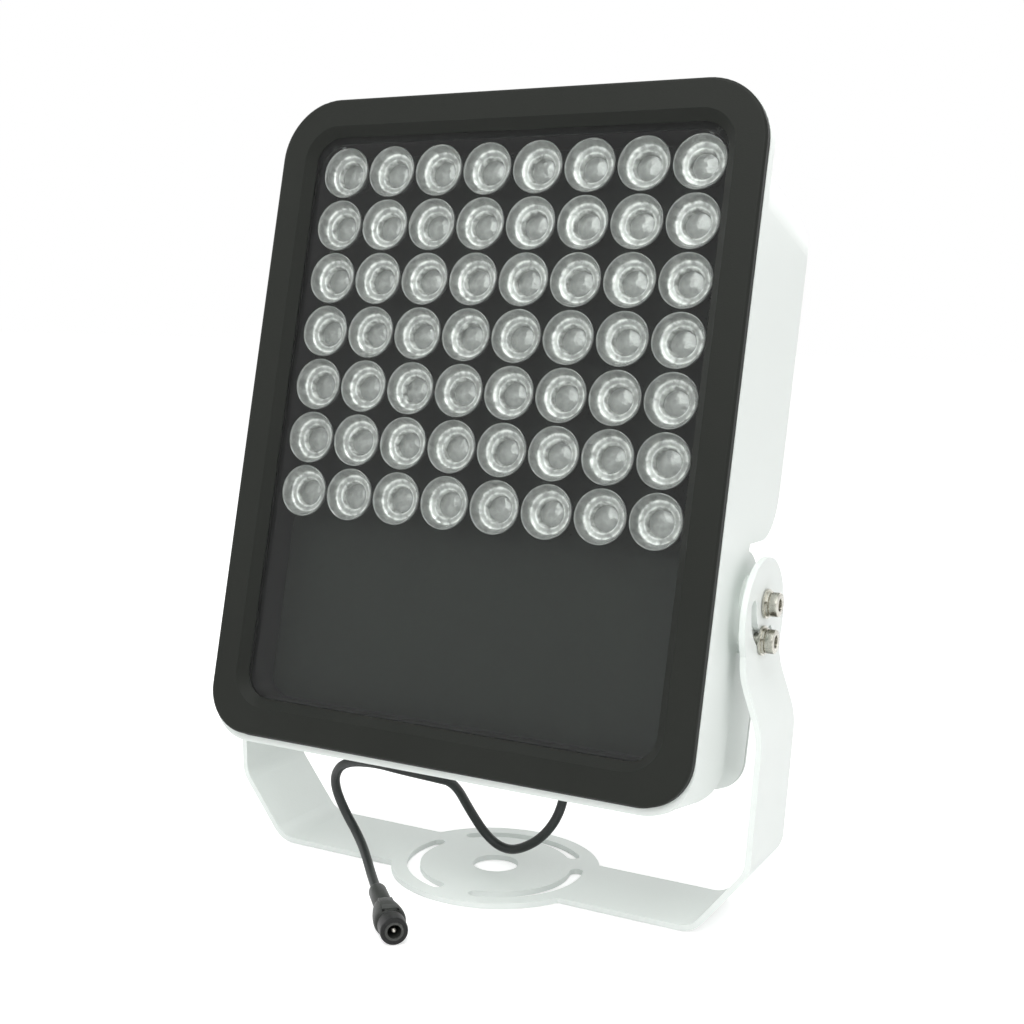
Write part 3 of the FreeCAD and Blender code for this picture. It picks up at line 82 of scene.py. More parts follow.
lead_curve = bpy.data.curves.new("lead_line", "CURVE")
lead_curve.dimensions = "3D"
lead_spline = lead_curve.splines.new("NURBS")
lead_spline.points.add(len(lead_route) - 1)
for control, place in zip(lead_spline.points, lead_route):
    control.co = (*place, 1)
lead_spline.order_u = 3
lead_spline.use_endpoint_u = True
lead_spline.resolution_u = 12
lead_line = bpy.data.objects.new("lead_line", lead_curve)
scene.collection.objects.link(lead_line)
bpy.context.view_layer.update()
lead_middle = bpy.data.meshes.new_from_object(
    lead_line.evaluated_get(bpy.context.evaluated_depsgraph_get()))
lead_curve.bevel_depth = lead_diameter / 2
lead_curve.bevel_resolution = 6
lead_curve.use_fill_caps = True
bpy.context.view_layer.update()
lead_tube = bpy.data.meshes.new_from_object(
    lead_line.evaluated_get(bpy.context.evaluated_depsgraph_get()))
bpy.data.objects.remove(lead_line)
lead = bpy.data.objects.new("supply_lead", lead_tube)
scene.collection.objects.link(lead)

# a mix node's colour sockets, which follow those for numbers and vectors
mix_first, mix_second, mix_result = 6, 7, 2


def feed(tree, socket, given):
    """Give a socket a number, a colour or what another node puts out."""
    if isinstance(given, bpy.types.NodeSocket):
        tree.links.new(given, socket)
    elif isinstance(given, tuple):
        socket.default_value = (*given, 1)
    else:
        socket.default_value = given


def arithmetic(tree, kind, first, second):
    """One step of arithmetic on numbers or masks."""
    made = tree.nodes.new("ShaderNodeMath")
    made.operation = kind
    feed(tree, made.inputs[0], first)
    feed(tree, made.inputs[1], second)
    return made.outputs[0]


def speckle(tree, where, scale, detail):
    """Soft noise over the surface."""
    made = tree.nodes.new("ShaderNodeTexNoise")
    made.inputs["Detail"].default_value = detail
    feed(tree, made.inputs["Scale"], scale)
    tree.links.new(where, made.inputs["Vector"])
    return made.outputs["Fac"]


def spread(tree, value, low=0.0, high=1.0, to_low=0.0, to_high=1.0):
    """Stretch what lies between low and high over a new range."""
    made = tree.nodes.new("ShaderNodeMapRange")
    for name, number in (("From Min", low), ("From Max", high), ("To Min", to_low), ("To Max", to_high)):
        made.inputs[name].default_value = number
    tree.links.new(value, made.inputs["Value"])
    return made.outputs[0]


def mixture(tree, share, first, second, kind="MIX"):
    """Two colours mixed, or multiplied, by the share of the second."""
    made = tree.nodes.new("ShaderNodeMix")
    made.data_type = "RGBA"
    made.blend_type = kind
    feed(tree, made.inputs[0], share)
    feed(tree, made.inputs[mix_first], first)
    feed(tree, made.inputs[mix_second], second)
    return made.outputs[mix_result]


def relief(tree, height, distance, strength=1.0):
    """Small bumps from a height."""
    made = tree.nodes.new("ShaderNodeBump")
    made.inputs["Strength"].default_value = strength
    made.inputs["Distance"].default_value = distance
    tree.links.new(height, made.inputs["Height"])
    return made.outputs[0]


def effect_group(name):
    """An empty effect: a place and a grain scale go in, relief and shade come out."""
    tree = bpy.data.node_groups.new(name, "ShaderNodeTree")
    for socket, kind in (("Vector", "NodeSocketVector"), ("Scale", "NodeSocketFloat")):
        tree.interface.new_socket(socket, in_out="INPUT", socket_type=kind)
    for socket in ("Height", "Shade"):
        tree.interface.new_socket(socket, in_out="OUTPUT", socket_type="NodeSocketFloat")
    entry, leave = tree.nodes.new("NodeGroupInput"), tree.nodes.new("NodeGroupOutput")
    return tree, entry.outputs, leave.inputs


def fresh_material(name):
    """A new material, with its nodes, its shader and the place on the object."""
    made = bpy.data.materials.new(name)
    made.use_nodes = True
    where = made.node_tree.nodes.new("ShaderNodeTexCoord")
    return made, made.node_tree, made.node_tree.nodes["Principled BSDF"], where.outputs["Object"]


def finish(name, effect, scale, dark, light, rough, bump, metallic=0.0, **sockets):
    """A material whose colour, roughness and relief come from one effect group."""
    made, tree, shader, where = fresh_material(name)
    shader.inputs["Metallic"].default_value = metallic
    for socket, value in sockets.items():
        shader.inputs[socket.replace("_", " ")].default_value = value
    group = tree.nodes.new("ShaderNodeGroup")
    group.node_tree = effect
    group.inputs["Scale"].default_value = scale
    tree.links.new(where, group.inputs["Vector"])
    shade = group.outputs["Shade"]
    smooth, matt = rough
    tree.links.new(mixture(tree, shade, dark, light), shader.inputs["Base Color"])
    tree.links.new(spread(tree, shade, to_low=smooth, to_high=matt), shader.inputs["Roughness"])
    tree.links.new(relief(tree, group.outputs["Height"], bump), shader.inputs["Normal"])
    return made


# moulded plastic and rubber: a fine grain, with rubbed and dusty spots
moulded_grain, given, result = effect_group("moulded_grain")
grain = speckle(moulded_grain, given["Vector"], scale=given["Scale"], detail=3)
wear = speckle(moulded_grain, given["Vector"], scale=70, detail=4)
worn_grain = arithmetic(moulded_grain, "MULTIPLY", wear, grain)
moulded_grain.links.new(grain, result["Height"])
moulded_grain.links.new(spread(moulded_grain, worn_grain, low=0.1, high=0.42), result["Shade"])

sheath = finish("lead_sheath", moulded_grain, scale=1500, dark=(0.013, 0.016, 0.015),
                light=(0.022, 0.025, 0.024), rough=(0.36, 0.48), bump=0.00006, Specular_IOR_Level=0.35)
lead.data.materials.clear()
lead.data.materials.append(sheath)
for face in lead.data.polygons:
    face.use_smooth = True
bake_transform(lead)
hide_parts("lead")


# Table and light. A pale table with white behind it, and soft light from
# above, from both sides, from behind and from the front, as in a small studio.
table_half = 30
table_drop = 0.0003
table_colour = (0.82, 0.82, 0.82, 1)
table_glow = 0.50
sky_on_object = 0.68
sky_seen = 1.0
# each soft box: name, place, the point it faces, side in metres, power in watts
soft_boxes = [
    ("lamp_above", (0.1, -0.35, 1.3), (0, 0, 0.1), 1.0, 7),
    ("lamp_right", (1.2, -0.4, 0.6), (0, 0, 0.15), 0.8, 1.5),
    ("lamp_left", (-1.3, -0.2, 0.7), (0, 0, 0.15), 0.8, 3),
    ("lamp_back", (0.3, 1.3, 0.8), (0, 0, 0.15), 0.8, 2.5),
    ("lamp_front", (0.12, -1.0, 0.88), (0, 0, 0), 0.8, 5.5)]

floor_mesh = bpy.data.meshes.new("table_top")
shape = bmesh.new()
bmesh.ops.create_grid(shape, x_segments=1, y_segments=1, size=table_half)
shape.to_mesh(floor_mesh)
shape.free()
floor = bpy.data.objects.new("table_top", floor_mesh)
floor.location = (0, 0, -table_drop)
scene.collection.objects.link(floor)


def seen_plainly(tree):
    """A factor that is one where the camera, a reflection or glass looks."""
    path = tree.nodes.new("ShaderNodeLightPath").outputs
    direct = arithmetic(tree, "MAXIMUM", path["Is Camera Ray"], path["Is Glossy Ray"])
    return arithmetic(tree, "MAXIMUM", direct, path["Is Transmission Ray"])


floor_look = bpy.data.materials.new("table_top")
floor_look.use_nodes = True
tree = floor_look.node_tree
tree.nodes.clear()
floor_diffuse = tree.nodes.new("ShaderNodeBsdfDiffuse")
floor_diffuse.inputs["Color"].default_value = table_colour
floor_glow = tree.nodes.new("ShaderNodeEmission")
floor_sum = tree.nodes.new("ShaderNodeAddShader")
floor_out = tree.nodes.new("ShaderNodeOutputMaterial")
tree.links.new(arithmetic(tree, "MULTIPLY", seen_plainly(tree), table_glow), floor_glow.inputs["Strength"])
tree.links.new(floor_diffuse.outputs[0], floor_sum.inputs[0])
tree.links.new(floor_glow.outputs[0], floor_sum.inputs[1])
tree.links.new(floor_sum.outputs[0], floor_out.inputs["Surface"])
floor_mesh.materials.append(floor_look)

world = bpy.data.worlds.new("studio")
scene.world = world
world.use_nodes = True
tree = world.node_tree
sky = tree.nodes["Background"]
sky.inputs["Color"].default_value = (1, 1, 1, 1)
tree.links.new(spread(tree, seen_plainly(tree), to_low=sky_on_object, to_high=sky_seen),
               sky.inputs["Strength"])

for name, place, aim, size, power in soft_boxes:
    lamp_data = bpy.data.lights.new(name, "AREA")
    lamp_data.shape = "SQUARE"
    lamp_data.size = size
    lamp_data.energy = power
    lamp = bpy.data.objects.new(name, lamp_data)
    lamp.location = place
    lamp.rotation_euler = (Vector(aim) - Vector(place)).to_track_quat("-Z", "Y").to_euler()
    scene.collection.objects.link(lamp)


# Bracket. One strip of 2.5 mm sheet steel with a round foot in its middle,
# cut and slotted flat, folded up into two arms with rounded ears, and powder
# coated white.
def dress(name, made):
    """Give a node of the solid model its finish."""
    for holder in nodes[name].material_slots:
        holder.material = made


# powder coat: fine orange peel, and a faint waviness in its shade
powder_coat, given, result = effect_group("powder_coat")
peel = speckle(powder_coat, given["Vector"], scale=given["Scale"], detail=1.5)
wave = speckle(powder_coat, given["Vector"], scale=16, detail=4)
powder_coat.links.new(peel, result["Height"])
powder_coat.links.new(spread(powder_coat, wave, low=0.3, high=0.7), result["Shade"])

bracket_paint = finish("bracket_paint", powder_coat, scale=1000, dark=(0.775, 0.815, 0.79),
                       light=(0.80, 0.84, 0.815), rough=(0.36, 0.46), bump=0.00005)
dress("bracket", bracket_paint)


# Rear housing and driver box lid. Die-cast aluminium with fins on its back,
# powder coated white outside; the tray behind the glass is masked black.
head_pivot = 0.1383
head_tilt = math.radians(12.4)
head_place = Matrix.Translation((0, 0, head_pivot)) @ Matrix.Rotation(-head_tilt, 4, "X")
white_coat = {"scale": 1000, "dark": (0.775, 0.82, 0.79), "light": (0.80, 0.845, 0.815),
              "rough": (0.34, 0.44), "bump": 0.00005}
tray_black = (0.012, 0.012, 0.012)
tray_half = 0.1135
tray_front = -0.0460
glass_ledge = -0.0392
tray_floor = -0.0212
# each round-cornered part of the tray: lowest edge, highest edge, corner radius
glass_seat = (-0.0862, 0.2015, 0.020)
lower_walls = (-0.0862, 0.1500, 0.018)
upper_walls = (-0.0500, 0.1865, 0.034)

housing_paint = finish("housing_paint", powder_coat, **white_coat)
dress("driver_cover", housing_paint)

casting_paint = finish("casting_paint", powder_coat, **white_coat)
casting = casting_paint.node_tree
upright_head = casting.nodes.new("ShaderNodeMapping")
upright_head.vector_type = "TEXTURE"
upright_head.inputs["Location"].default_value = (0, 0, head_pivot)
upright_head.inputs["Rotation"].default_value = (-head_tilt, 0, 0)
spot = casting.nodes.new("ShaderNodeTexCoord")
apart = casting.nodes.new("ShaderNodeSeparateXYZ")
casting.links.new(spot.outputs["Object"], upright_head.inputs["Vector"])
casting.links.new(upright_head.outputs[0], apart.inputs[0])


def within(value, low, high):
    """One between low and high, else nothing."""
    above = arithmetic(casting, "GREATER_THAN", value, low)
    below = arithmetic(casting, "LESS_THAN", value, high)
    return arithmetic(casting, "MULTIPLY", above, below)


def beyond(value, centre, half):
    """The square of the distance past the straight part of the tray's side."""
    aside = arithmetic(casting, "ABSOLUTE", arithmetic(casting, "SUBTRACT", value, centre), 0)
    past = arithmetic(casting, "MAXIMUM", arithmetic(casting, "SUBTRACT", aside, half), 0)
    return arithmetic(casting, "MULTIPLY", past, past)


def rounded(low, high, radius):
    """The inside of a round-cornered rectangle that is as wide as the tray."""
    across = beyond(apart.outputs["X"], 0, tray_half - radius)
    upright = beyond(apart.outputs["Z"], (low + high) / 2, (high - low) / 2 - radius)
    return arithmetic(casting, "LESS_THAN", arithmetic(casting, "ADD", across, upright), radius ** 2)


seat_mask = arithmetic(casting, "MULTIPLY", within(apart.outputs["Y"], tray_front, glass_ledge),
                       rounded(*glass_seat))
walls_mask = arithmetic(casting, "MULTIPLY", within(apart.outputs["Y"], glass_ledge, tray_floor),
                        arithmetic(casting, "MAXIMUM", rounded(*lower_walls), rounded(*upper_walls)))
tray_mask = arithmetic(casting, "MAXIMUM", seat_mask, walls_mask)
outside = casting.nodes["Principled BSDF"].inputs["Base Color"]
coated = outside.links[0].from_socket
casting.links.new(mixture(casting, tray_mask, coated, tray_black), outside)
dress("rear_housing", casting_paint)


# Front bezel. A die-cast aluminium frame with a stepped inner lip that holds
# the glass, black powder coat, screwed to the housing from behind.
bezel_paint = finish("bezel_paint", powder_coat, scale=1400, dark=(0.0138, 0.0154, 0.0130),
                     light=(0.0166, 0.0183, 0.0157), rough=(0.46, 0.56), bump=0.00005,
                     Specular_IOR_Level=0.13)
dress("front_bezel", bezel_paint)


# Front glass and the seals. A 3 mm tempered clear pane lies behind the bezel's
# lip on a flat black rubber seal; the driver box lid has a seal of its own.
glass_tint = (0.95, 0.98, 0.965)
glass_clear = (0.97, 0.99, 0.98)
glass, tree, shader, where = fresh_material("clear_glass")
shader.inputs["Transmission Weight"].default_value = 1.0
shader.inputs["IOR"].default_value = 1.28
film = speckle(tree, where, scale=30, detail=5)
tree.links.new(spread(tree, film, to_high=0.012), shader.inputs["Roughness"])
tree.links.new(mixture(tree, film, glass_tint, glass_clear), shader.inputs["Base Color"])
dress("front_glass", glass)

rubber = finish("black_rubber", moulded_grain, scale=900, dark=(0.0075, 0.0088, 0.0076),
                light=(0.0150, 0.0168, 0.0150), rough=(0.62, 0.78), bump=0.00005,
                Specular_IOR_Level=0.2)
dress("glass_seal", rubber)
dress("cover_seal", rubber)


# Emitter board and driver board. The first is a metal-core circuit board in
# black solder mask on the tray's floor, with a small flat infrared emitter
# under every lens. The second, green with its parts, is in the driver box.
board_mask = finish("board_mask", moulded_grain, scale=500, dark=(0.0098, 0.0122, 0.0098),
                    light=(0.0134, 0.0164, 0.0134), rough=(0.45, 0.58), bump=0.00001,
                    Specular_IOR_Level=0.15)
dress("led_board", board_mask)
emitter_face = finish("emitter", moulded_grain, scale=2500, dark=(0.16, 0.13, 0.08),
                      light=(0.34, 0.30, 0.20), rough=(0.20, 0.35), bump=0.00002)
dress("led_emitters", emitter_face)
driver_mask = finish("driver_mask", moulded_grain, scale=400, dark=(0.010, 0.060, 0.025),
                     light=(0.020, 0.090, 0.040), rough=(0.35, 0.50), bump=0.00002)
dress("driver_board", driver_mask)


# Lenses. Fifty-six moulded acrylic collimators in seven rows of eight. Each is a flared cup: a thin rim, a
# deep cone that throws the light forward, and a round well in the middle over the emitter; its silvery
# rings are painted reflection and painted shade.
lens_pitch = 0.0245
lens_rows = 7
lens_columns = 8
lens_first_row = 0.0263
lens_front = -0.0395
lens_sides = 56
lens_crease = math.radians(60)
weld_gap = 0.00001
# each point of the cup's outline: radius, depth behind the rim, tone of the painted highlight and shade
# there
lens_outline = [
    (0.00000, 0.00640, 0.36), (0.00140, 0.00645, 0.34), (0.00280, 0.00665, 0.30),
    (0.00410, 0.00695, 0.26), (0.00490, 0.00720, 0.23), (0.00535, 0.00722, 0.30),
    (0.00560, 0.00660, 0.62), (0.00595, 0.00560, 0.82), (0.00635, 0.00475, 0.88),
    (0.00670, 0.00450, 0.70), (0.00710, 0.00460, 0.44), (0.00755, 0.00450, 0.38),
    (0.00800, 0.00435, 0.46), (0.00840, 0.00432, 0.66), (0.00872, 0.00425, 0.92),
    (0.00905, 0.00400, 0.98), (0.00935, 0.00350, 0.52), (0.00975, 0.00270, 0.36),
    (0.01020, 0.00180, 0.29), (0.01065, 0.00095, 0.26), (0.01105, 0.00030, 0.26),
    (0.01135, 0.00005, 0.28), (0.01160, 0.00015, 0.27), (0.01170, 0.00055, 0.26),
    (0.01165, 0.00120, 0.26), (0.01110, 0.00280, 0.26), (0.01000, 0.00540, 0.26),
    (0.00860, 0.00820, 0.26), (0.00720, 0.01080, 0.26), (0.00620, 0.01270, 0.26),
    (0.00600, 0.01330, 0.26), (0.00000, 0.01330, 0.26)]

# painted rings of highlight, reflection and shade by their tone, broken into painted specks most where
# they are bright
lens_look, tree, shader, where = fresh_material("clear_lens")
shader.inputs["Metallic"].default_value = 0.35
shader.inputs["Roughness"].default_value = 0.16
shader.inputs["Coat Weight"].default_value = 0.5
shader.inputs["Coat Roughness"].default_value = 0.03
tone = tree.nodes.new("ShaderNodeAttribute")
tone.attribute_name = "painted_ring_light"
painted_ring_greys = tree.nodes.new("ShaderNodeValToRGB")
painted_ring_greys.color_ramp.elements[0].color = (0.06, 0.064, 0.060, 1)
painted_ring_greys.color_ramp.elements[1].color = (0.80, 0.815, 0.79, 1)
tree.links.new(tone.outputs["Fac"], painted_ring_greys.inputs["Fac"])
# this noise both breaks the painted highlights into brighter and darker specks and gives the surface its
# bumps
swirl = speckle(tree, where, scale=360, detail=2.5)
patches = spread(tree, swirl, low=0.36, high=0.64, to_low=0.50, to_high=1.22)
painted_speck_share = spread(tree, tone.outputs["Fac"], low=0.25, high=0.70, to_low=0.28, to_high=1.0)
tree.links.new(mixture(tree, painted_speck_share, painted_ring_greys.outputs["Color"], patches, kind="MULTIPLY"),
               shader.inputs["Base Color"])
tree.links.new(relief(tree, swirl, distance=0.0006, strength=0.7), shader.inputs["Normal"])


def keep_creases(shape, sharpest):
    """Smooth shading everywhere but on edges that turn more than this."""
    for face in shape.faces:
        face.smooth = True
    for edge in shape.edges:
        if len(edge.link_faces) == 2 and edge.calc_face_angle() > sharpest:
            edge.smooth = False


def new_piece(name, shape, look, body, slot, *replaced):
    """A finished shape as an object that rides on a body, with its finish."""
    mesh = bpy.data.meshes.new(name)
    shape.to_mesh(mesh)
    shape.free()
    mesh.materials.append(look)
    made = bpy.data.objects.new(name, mesh)
    scene.collection.objects.link(made)
    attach(made, body)
    if replaced:
        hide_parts(*replaced)
    return made


def revolve(shape, points, axis, sides, closed=False):
    """Join an outline's points and spin them round an axis into a solid."""
    for first, second in zip(points, points[1:] + (points[:1] if closed else [])):
        shape.edges.new((first, second))
    bmesh.ops.spin(shape, geom=shape.verts[:] + shape.edges[:], cent=(0, 0, 0), axis=axis,
                   angle=math.tau, steps=sides, use_merge=True)
    bmesh.ops.remove_doubles(shape, verts=shape.verts[:], dist=weld_gap)


for row in range(lens_rows):
    shape = bmesh.new()
    # each point carries its painted light and shade as a tone
    painted_ring_light_layer = shape.verts.layers.float.new("painted_ring_light")
    for radius, depth, shade in lens_outline:
        shape.verts.new((radius, depth, 0))[painted_ring_light_layer] = shade
    revolve(shape, shape.verts[:], (0, 1, 0), lens_sides)
    bmesh.ops.recalc_face_normals(shape, faces=shape.faces[:])
    keep_creases(shape, lens_crease)
    first_lens = shape.verts[:] + shape.edges[:] + shape.faces[:]
    for column in range(1, lens_columns):
        copied = bmesh.ops.duplicate(shape, geom=first_lens)["geom"]
        bmesh.ops.translate(shape, vec=(column * lens_pitch, 0, 0),
                            verts=[part for part in copied if isinstance(part, bmesh.types.BMVert)])
    bmesh.ops.translate(shape, verts=shape.verts[:],
                        vec=(-lens_pitch * (lens_columns - 1) / 2, lens_front,
                             lens_first_row + row * lens_pitch))
    bmesh.ops.transform(shape, matrix=head_place, verts=shape.verts[:])
    new_piece(f"lens_cups_{row + 1}", shape, lens_look, "head", "clear_lens", f"lens_row_{row + 1}")


# Pivot and lock bolts, and the small screws. Stainless M6 cap screws with
# knurled heads and hexagon sockets, two in each ear, on plain and split spring
# washers; smaller screws of the same steel hold the bezel and the box's lid.
bolt_seat = 0.12465
bolt_lock_drop = 0.0152
bolt_sides = 96
bolt_crease = math.radians(32)
socket_half = 0.0025
socket_turn = math.radians(60)
knurl_depth = 0.00016
mark_squeeze = (6, 1, 1)
# each ring of the bolt: distance from the head's seat, radius, kind of ring
bolt_rings = [
    (-0.0110, 0.0025, "plain"), (-0.0105, 0.0030, "plain"), (0.0000, 0.0030, "plain"),
    (0.0000, 0.0046, "plain"), (0.0002, 0.0048, "plain"), (0.0005, 0.0050, "knurled"),
    (0.0034, 0.0050, "knurled"), (0.0036, 0.00492, "plain"), (0.0038, 0.00478, "plain"),
    (0.0039, 0.0046, "plain"), (0.0039, 0.0029, "plain"), (0.0036, 0.0025, "hexagon"),
    (0.0017, 0.0025, "hexagon")]

# bright steel: fine turning marks and slightly cloudy patches
bright_steel, given, result = effect_group("bright_steel")
squeeze = bright_steel.nodes.new("ShaderNodeMapping")
squeeze.inputs["Scale"].default_value = mark_squeeze
bright_steel.links.new(given["Vector"], squeeze.inputs["Vector"])
marks = speckle(bright_steel, squeeze.outputs[0], scale=given["Scale"], detail=3)
cloudy = speckle(bright_steel, given["Vector"], scale=220, detail=3)
bright_steel.links.new(marks, result["Height"])
bright_steel.links.new(spread(bright_steel, cloudy, low=0.32, high=0.68), result["Shade"])

steel = finish("steel", bright_steel, scale=1600, dark=(0.40, 0.39, 0.345),
               light=(0.60, 0.59, 0.53), rough=(0.20, 0.32), bump=0.00001, metallic=1.0)
for name in ("cover_screws", "bezel_screws", "flat_washers", "spring_washers"):
    dress(name, steel)


def drawn_ring(shape, edges):
    """Draw a ring of edges out into the next ring: its points and its edges."""
    drawn = bmesh.ops.extrude_edge_only(shape, edges=edges)["geom"]
    points = {part for part in drawn if isinstance(part, bmesh.types.BMVert)}
    edges = [part for part in drawn
             if isinstance(part, bmesh.types.BMEdge) and set(part.verts) <= points]
    return points, edges


def bolt_ring_radius(number, radius, kind):
    """How far the ring's point of this number lies from the bolt's middle."""
    if kind == "knurled" and number % 2:
        return radius - knurl_depth
    if kind == "hexagon":
        turn = math.radians(360 * number / bolt_sides) % socket_turn
        return socket_half / math.cos(turn - socket_turn / 2)
    return radius


def cap_bolt(shape, side, up):
    """One cap screw: a disc drawn out ring by ring, its socket sunk last."""
    tip_place, tip_radius, _ = bolt_rings[0]
    tip = bmesh.ops.create_circle(shape, cap_ends=True, segments=bolt_sides, radius=tip_radius)["verts"]
    for point in tip:
        point.co.z = tip_place
    edges = shape.edges[:]
    for along, radius, kind in bolt_rings[1:]:
        points, edges = drawn_ring(shape, edges)
        for point in points:
            number = round(math.atan2(point.co.y, point.co.x) * bolt_sides / math.tau) % bolt_sides
            turn = math.tau * number / bolt_sides
            reach = bolt_ring_radius(number, radius, kind)
            point.co = (reach * math.cos(turn), reach * math.sin(turn), along)
    bmesh.ops.contextual_create(shape, geom=edges)
    stand = Matrix.Rotation(math.radians(90) * side, 4, "Y")
    bmesh.ops.transform(shape, verts=shape.verts[:],
                        matrix=Matrix.Translation((side * bolt_seat, 0, up)) @ stand)


for name, up in (("pivot", 0), ("lock", -bolt_lock_drop)):
    for side, word in ((1, "right"), (-1, "left")):
        shape = bmesh.new()
        cap_bolt(shape, side, up)
        bmesh.ops.transform(shape, matrix=head_place, verts=shape.verts[:])
        bmesh.ops.recalc_face_normals(shape, faces=shape.faces[:])
        keep_creases(shape, bolt_crease)
        new_piece(f"{name}_cap_screw_{word}", shape, steel, "head", "steel", f"{name}_bolts")


# Cable gland. A black nylon gland with a hexagon body and a domed nut with
# grip ribs, which clamps the lead where it leaves the driver box underneath.
gland_side = 0.0344
gland_behind = 0.0196
nut_sides = 72
nut_mouth = 0.0024
nut_crease = math.radians(38)
rib_depth = 0.0004
# a rib and the groove beside it take six points of a ring, three each
rib_points = 6
rib_top_points = 3
# each ring of the nut: height, radius, and whether the finger ribs show there
nut_rings = [
    (-0.0920, 0.0044, False), (-0.0917, 0.0052, False), (-0.0911, 0.0059, False),
    (-0.0903, 0.0064, False), (-0.0898, 0.00695, True), (-0.0868, 0.00695, True),
    (-0.0862, 0.0066, False), (-0.0862, nut_mouth, False)]

nylon = finish("black_nylon", moulded_grain, scale=1100, dark=(0.018, 0.019, 0.018),
               light=(0.032, 0.033, 0.031), rough=(0.42, 0.58), bump=0.00006)
dress("cable_gland", nylon)
dress("lead_entry", sheath)

shape = bmesh.new()
mouth = bmesh.ops.create_circle(shape, segments=nut_sides, radius=nut_mouth)["verts"]
for point in mouth:
    point.co.z = nut_rings[0][0]
mouth_edges = shape.edges[:]
edges = mouth_edges
for height, radius, ribbed in nut_rings:
    points, edges = drawn_ring(shape, edges)
    for point in points:
        turn = math.atan2(point.co.y, point.co.x)
        in_groove = round(turn * nut_sides / math.tau) % rib_points >= rib_top_points
        reach = radius - rib_depth if ribbed and in_groove else radius
        point.co = (reach * math.cos(turn), reach * math.sin(turn), height)
bmesh.ops.bridge_loops(shape, edges=edges + mouth_edges)
bmesh.ops.recalc_face_normals(shape, faces=shape.faces[:])
keep_creases(shape, nut_crease)
bmesh.ops.transform(shape, verts=shape.verts[:],
                    matrix=head_place @ Matrix.Translation((gland_side, gland_behind, 0)))
new_piece("gland_ribbed_nut", shape, nylon, "head", "black_nylon", "gland_nut")


# Power jack. A moulded black socket on the lead's end, with a strain-relief
# neck, a separate front collar, a liner and a plated centre pin.
jack_face = Vector((0.0056, -0.0964, 0.0057))
jack_heading = math.radians(-48)
jack_length = 0.044
jack_flat = 0.0057
jack_sides = 64
jack_crease = math.radians(38)
jack_place = (Matrix.Translation(jack_face) @ Matrix.Rotation(jack_heading, 4, "Z")
              @ Matrix.Translation((-jack_length, 0, 0)))
# each point of the two outlines: radius, distance from the lead's end
jack_outline = [
    (0.00215, 0.0000), (0.00330, 0.0000), (0.00375, 0.0004), (0.00390, 0.0011),
    (0.00405, 0.0166), (0.00390, 0.0173), (0.00350, 0.0176), (0.00350, 0.0180),
    (0.00420, 0.0183), (0.00465, 0.0188), (0.00540, 0.0218), (0.00610, 0.0256),
    (0.00655, 0.0288), (0.00670, 0.0312), (0.00670, 0.0330), (0.00655, 0.0341),
    (0.00610, 0.0350), (0.00570, 0.0354), (0.00545, 0.0358), (0.00390, 0.0358),
    (0.00390, 0.0340), (0.00000, 0.0340)]
collar_outline = [
    (0.00390, 0.0358), (0.00545, 0.0358), (0.00565, 0.0361), (0.00578, 0.0367),
    (0.00580, 0.0374), (0.00580, 0.0430), (0.00570, 0.0436), (0.00545, 0.0440),
    (0.00400, 0.0440), (0.00390, 0.0438)]


def turned(outline, closed):
    """A solid of revolution about the jack's length, with its top and foot cut flat."""
    shape = bmesh.new()
    points = [shape.verts.new((along, 0, radius)) for radius, along in outline]
    revolve(shape, points, (1, 0, 0), jack_sides, closed)
    for point in shape.verts:
        point.co.z = max(-jack_flat, min(jack_flat, point.co.z))
    bmesh.ops.recalc_face_normals(shape, faces=shape.faces[:])
    keep_creases(shape, jack_crease)
    bmesh.ops.transform(shape, matrix=jack_place, verts=shape.verts[:])
    return shape


jack_plastic = finish("jack_plastic", moulded_grain, scale=1200, dark=(0.012, 0.014, 0.012),
                      light=(0.026, 0.028, 0.025), rough=(0.36, 0.50), bump=0.00005,
                      Specular_IOR_Level=0.26)
jack_shell = new_piece("jack_shell", turned(jack_outline, False), jack_plastic, "bracket",
                       "black_nylon", "jack_body")
collar_plastic = finish("collar_plastic", moulded_grain, scale=1600, dark=(0.006, 0.006, 0.006),
                        light=(0.013, 0.013, 0.013), rough=(0.30, 0.45), bump=0.00004,
                        Specular_IOR_Level=0.25)
jack_collar = new_piece("jack_collar", turned(collar_outline, True), collar_plastic, "bracket",
                        "black_nylon")

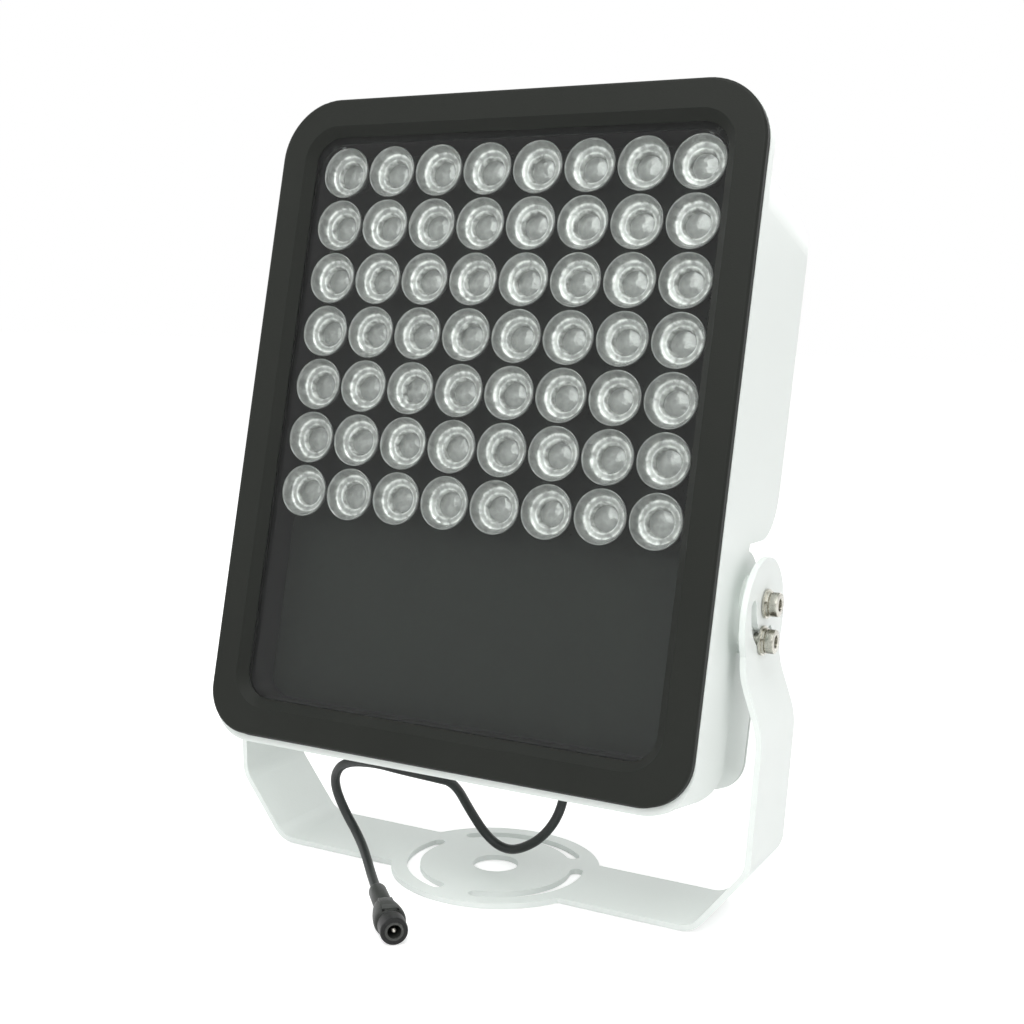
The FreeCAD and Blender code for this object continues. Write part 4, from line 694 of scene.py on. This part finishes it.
# the raised panel on the jack's flat top, which slopes up towards the front
panel_size = (0.0136, 0.0060, 0.0020)
panel_place = (0.0268, 0, 0.00455)
panel_slope = math.radians(4.2)
panel_edge = 0.00025
panel_crease = math.radians(40)
panel_plastic = finish("panel_plastic", moulded_grain, scale=1600, dark=(0.034, 0.037, 0.034),
                       light=(0.052, 0.055, 0.052), rough=(0.40, 0.52), bump=0.00004,
                       Specular_IOR_Level=0.3)
shape = bmesh.new()
bmesh.ops.create_cube(shape, size=1, matrix=Matrix.Diagonal((*panel_size, 1)))
bmesh.ops.bevel(shape, geom=shape.edges[:], offset=panel_edge, segments=3, profile=0.5,
                affect="EDGES", material=-1)
bmesh.ops.transform(shape, verts=shape.verts[:],
                    matrix=jack_place @ Matrix.Translation(panel_place)
                    @ Matrix.Rotation(-panel_slope, 4, "Y"))
keep_creases(shape, panel_crease)
jack_panel = new_piece("jack_panel", shape, panel_plastic, "bracket", "black_nylon")

# the two small nicks just in front of the panel's corners, laid on as thin near-black patches whose dark
# is painted shade
nick_size = (0.0013, 0.0011, 0.0008)
nick_along, nick_aside, nick_height = 0.0343, 0.0030, 0.0054
nick_edge = 0.0002
# near-black colour: painted shade inside the nicks
nick_painted_shade = finish("nick_painted_shade", moulded_grain, scale=1600, dark=(0.004, 0.004, 0.004),
                    light=(0.007, 0.007, 0.007), rough=(0.6, 0.7), bump=0.00002,
                    Specular_IOR_Level=0.1)
shape = bmesh.new()
for side in (-1, 1):
    nick = bmesh.ops.create_cube(shape, size=1, matrix=Matrix.Diagonal((*nick_size, 1)))
    bmesh.ops.translate(shape, vec=(nick_along, side * nick_aside, nick_height), verts=nick["verts"])
bmesh.ops.bevel(shape, geom=shape.edges[:], offset=nick_edge, segments=2, profile=0.5,
                affect="EDGES", material=-1)
bmesh.ops.transform(shape, matrix=jack_place, verts=shape.verts[:])
jack_nicks = new_piece("jack_nicks", shape, nick_painted_shade, "bracket", "black_nylon")

liner_plastic = finish("liner", moulded_grain, scale=1500, dark=(0.030, 0.032, 0.029),
                       light=(0.058, 0.060, 0.056), rough=(0.35, 0.5), bump=0.00003,
                       Specular_IOR_Level=0.35)
dress("jack_liner", liner_plastic)
pin_metal = finish("pin_metal", bright_steel, scale=2500, dark=(0.34, 0.33, 0.30),
                   light=(0.58, 0.56, 0.50), rough=(0.22, 0.35), bump=0.00002, metallic=1.0)
dress("jack_pin", pin_metal)


# Close.
scene.view_settings.view_transform = "Standard"
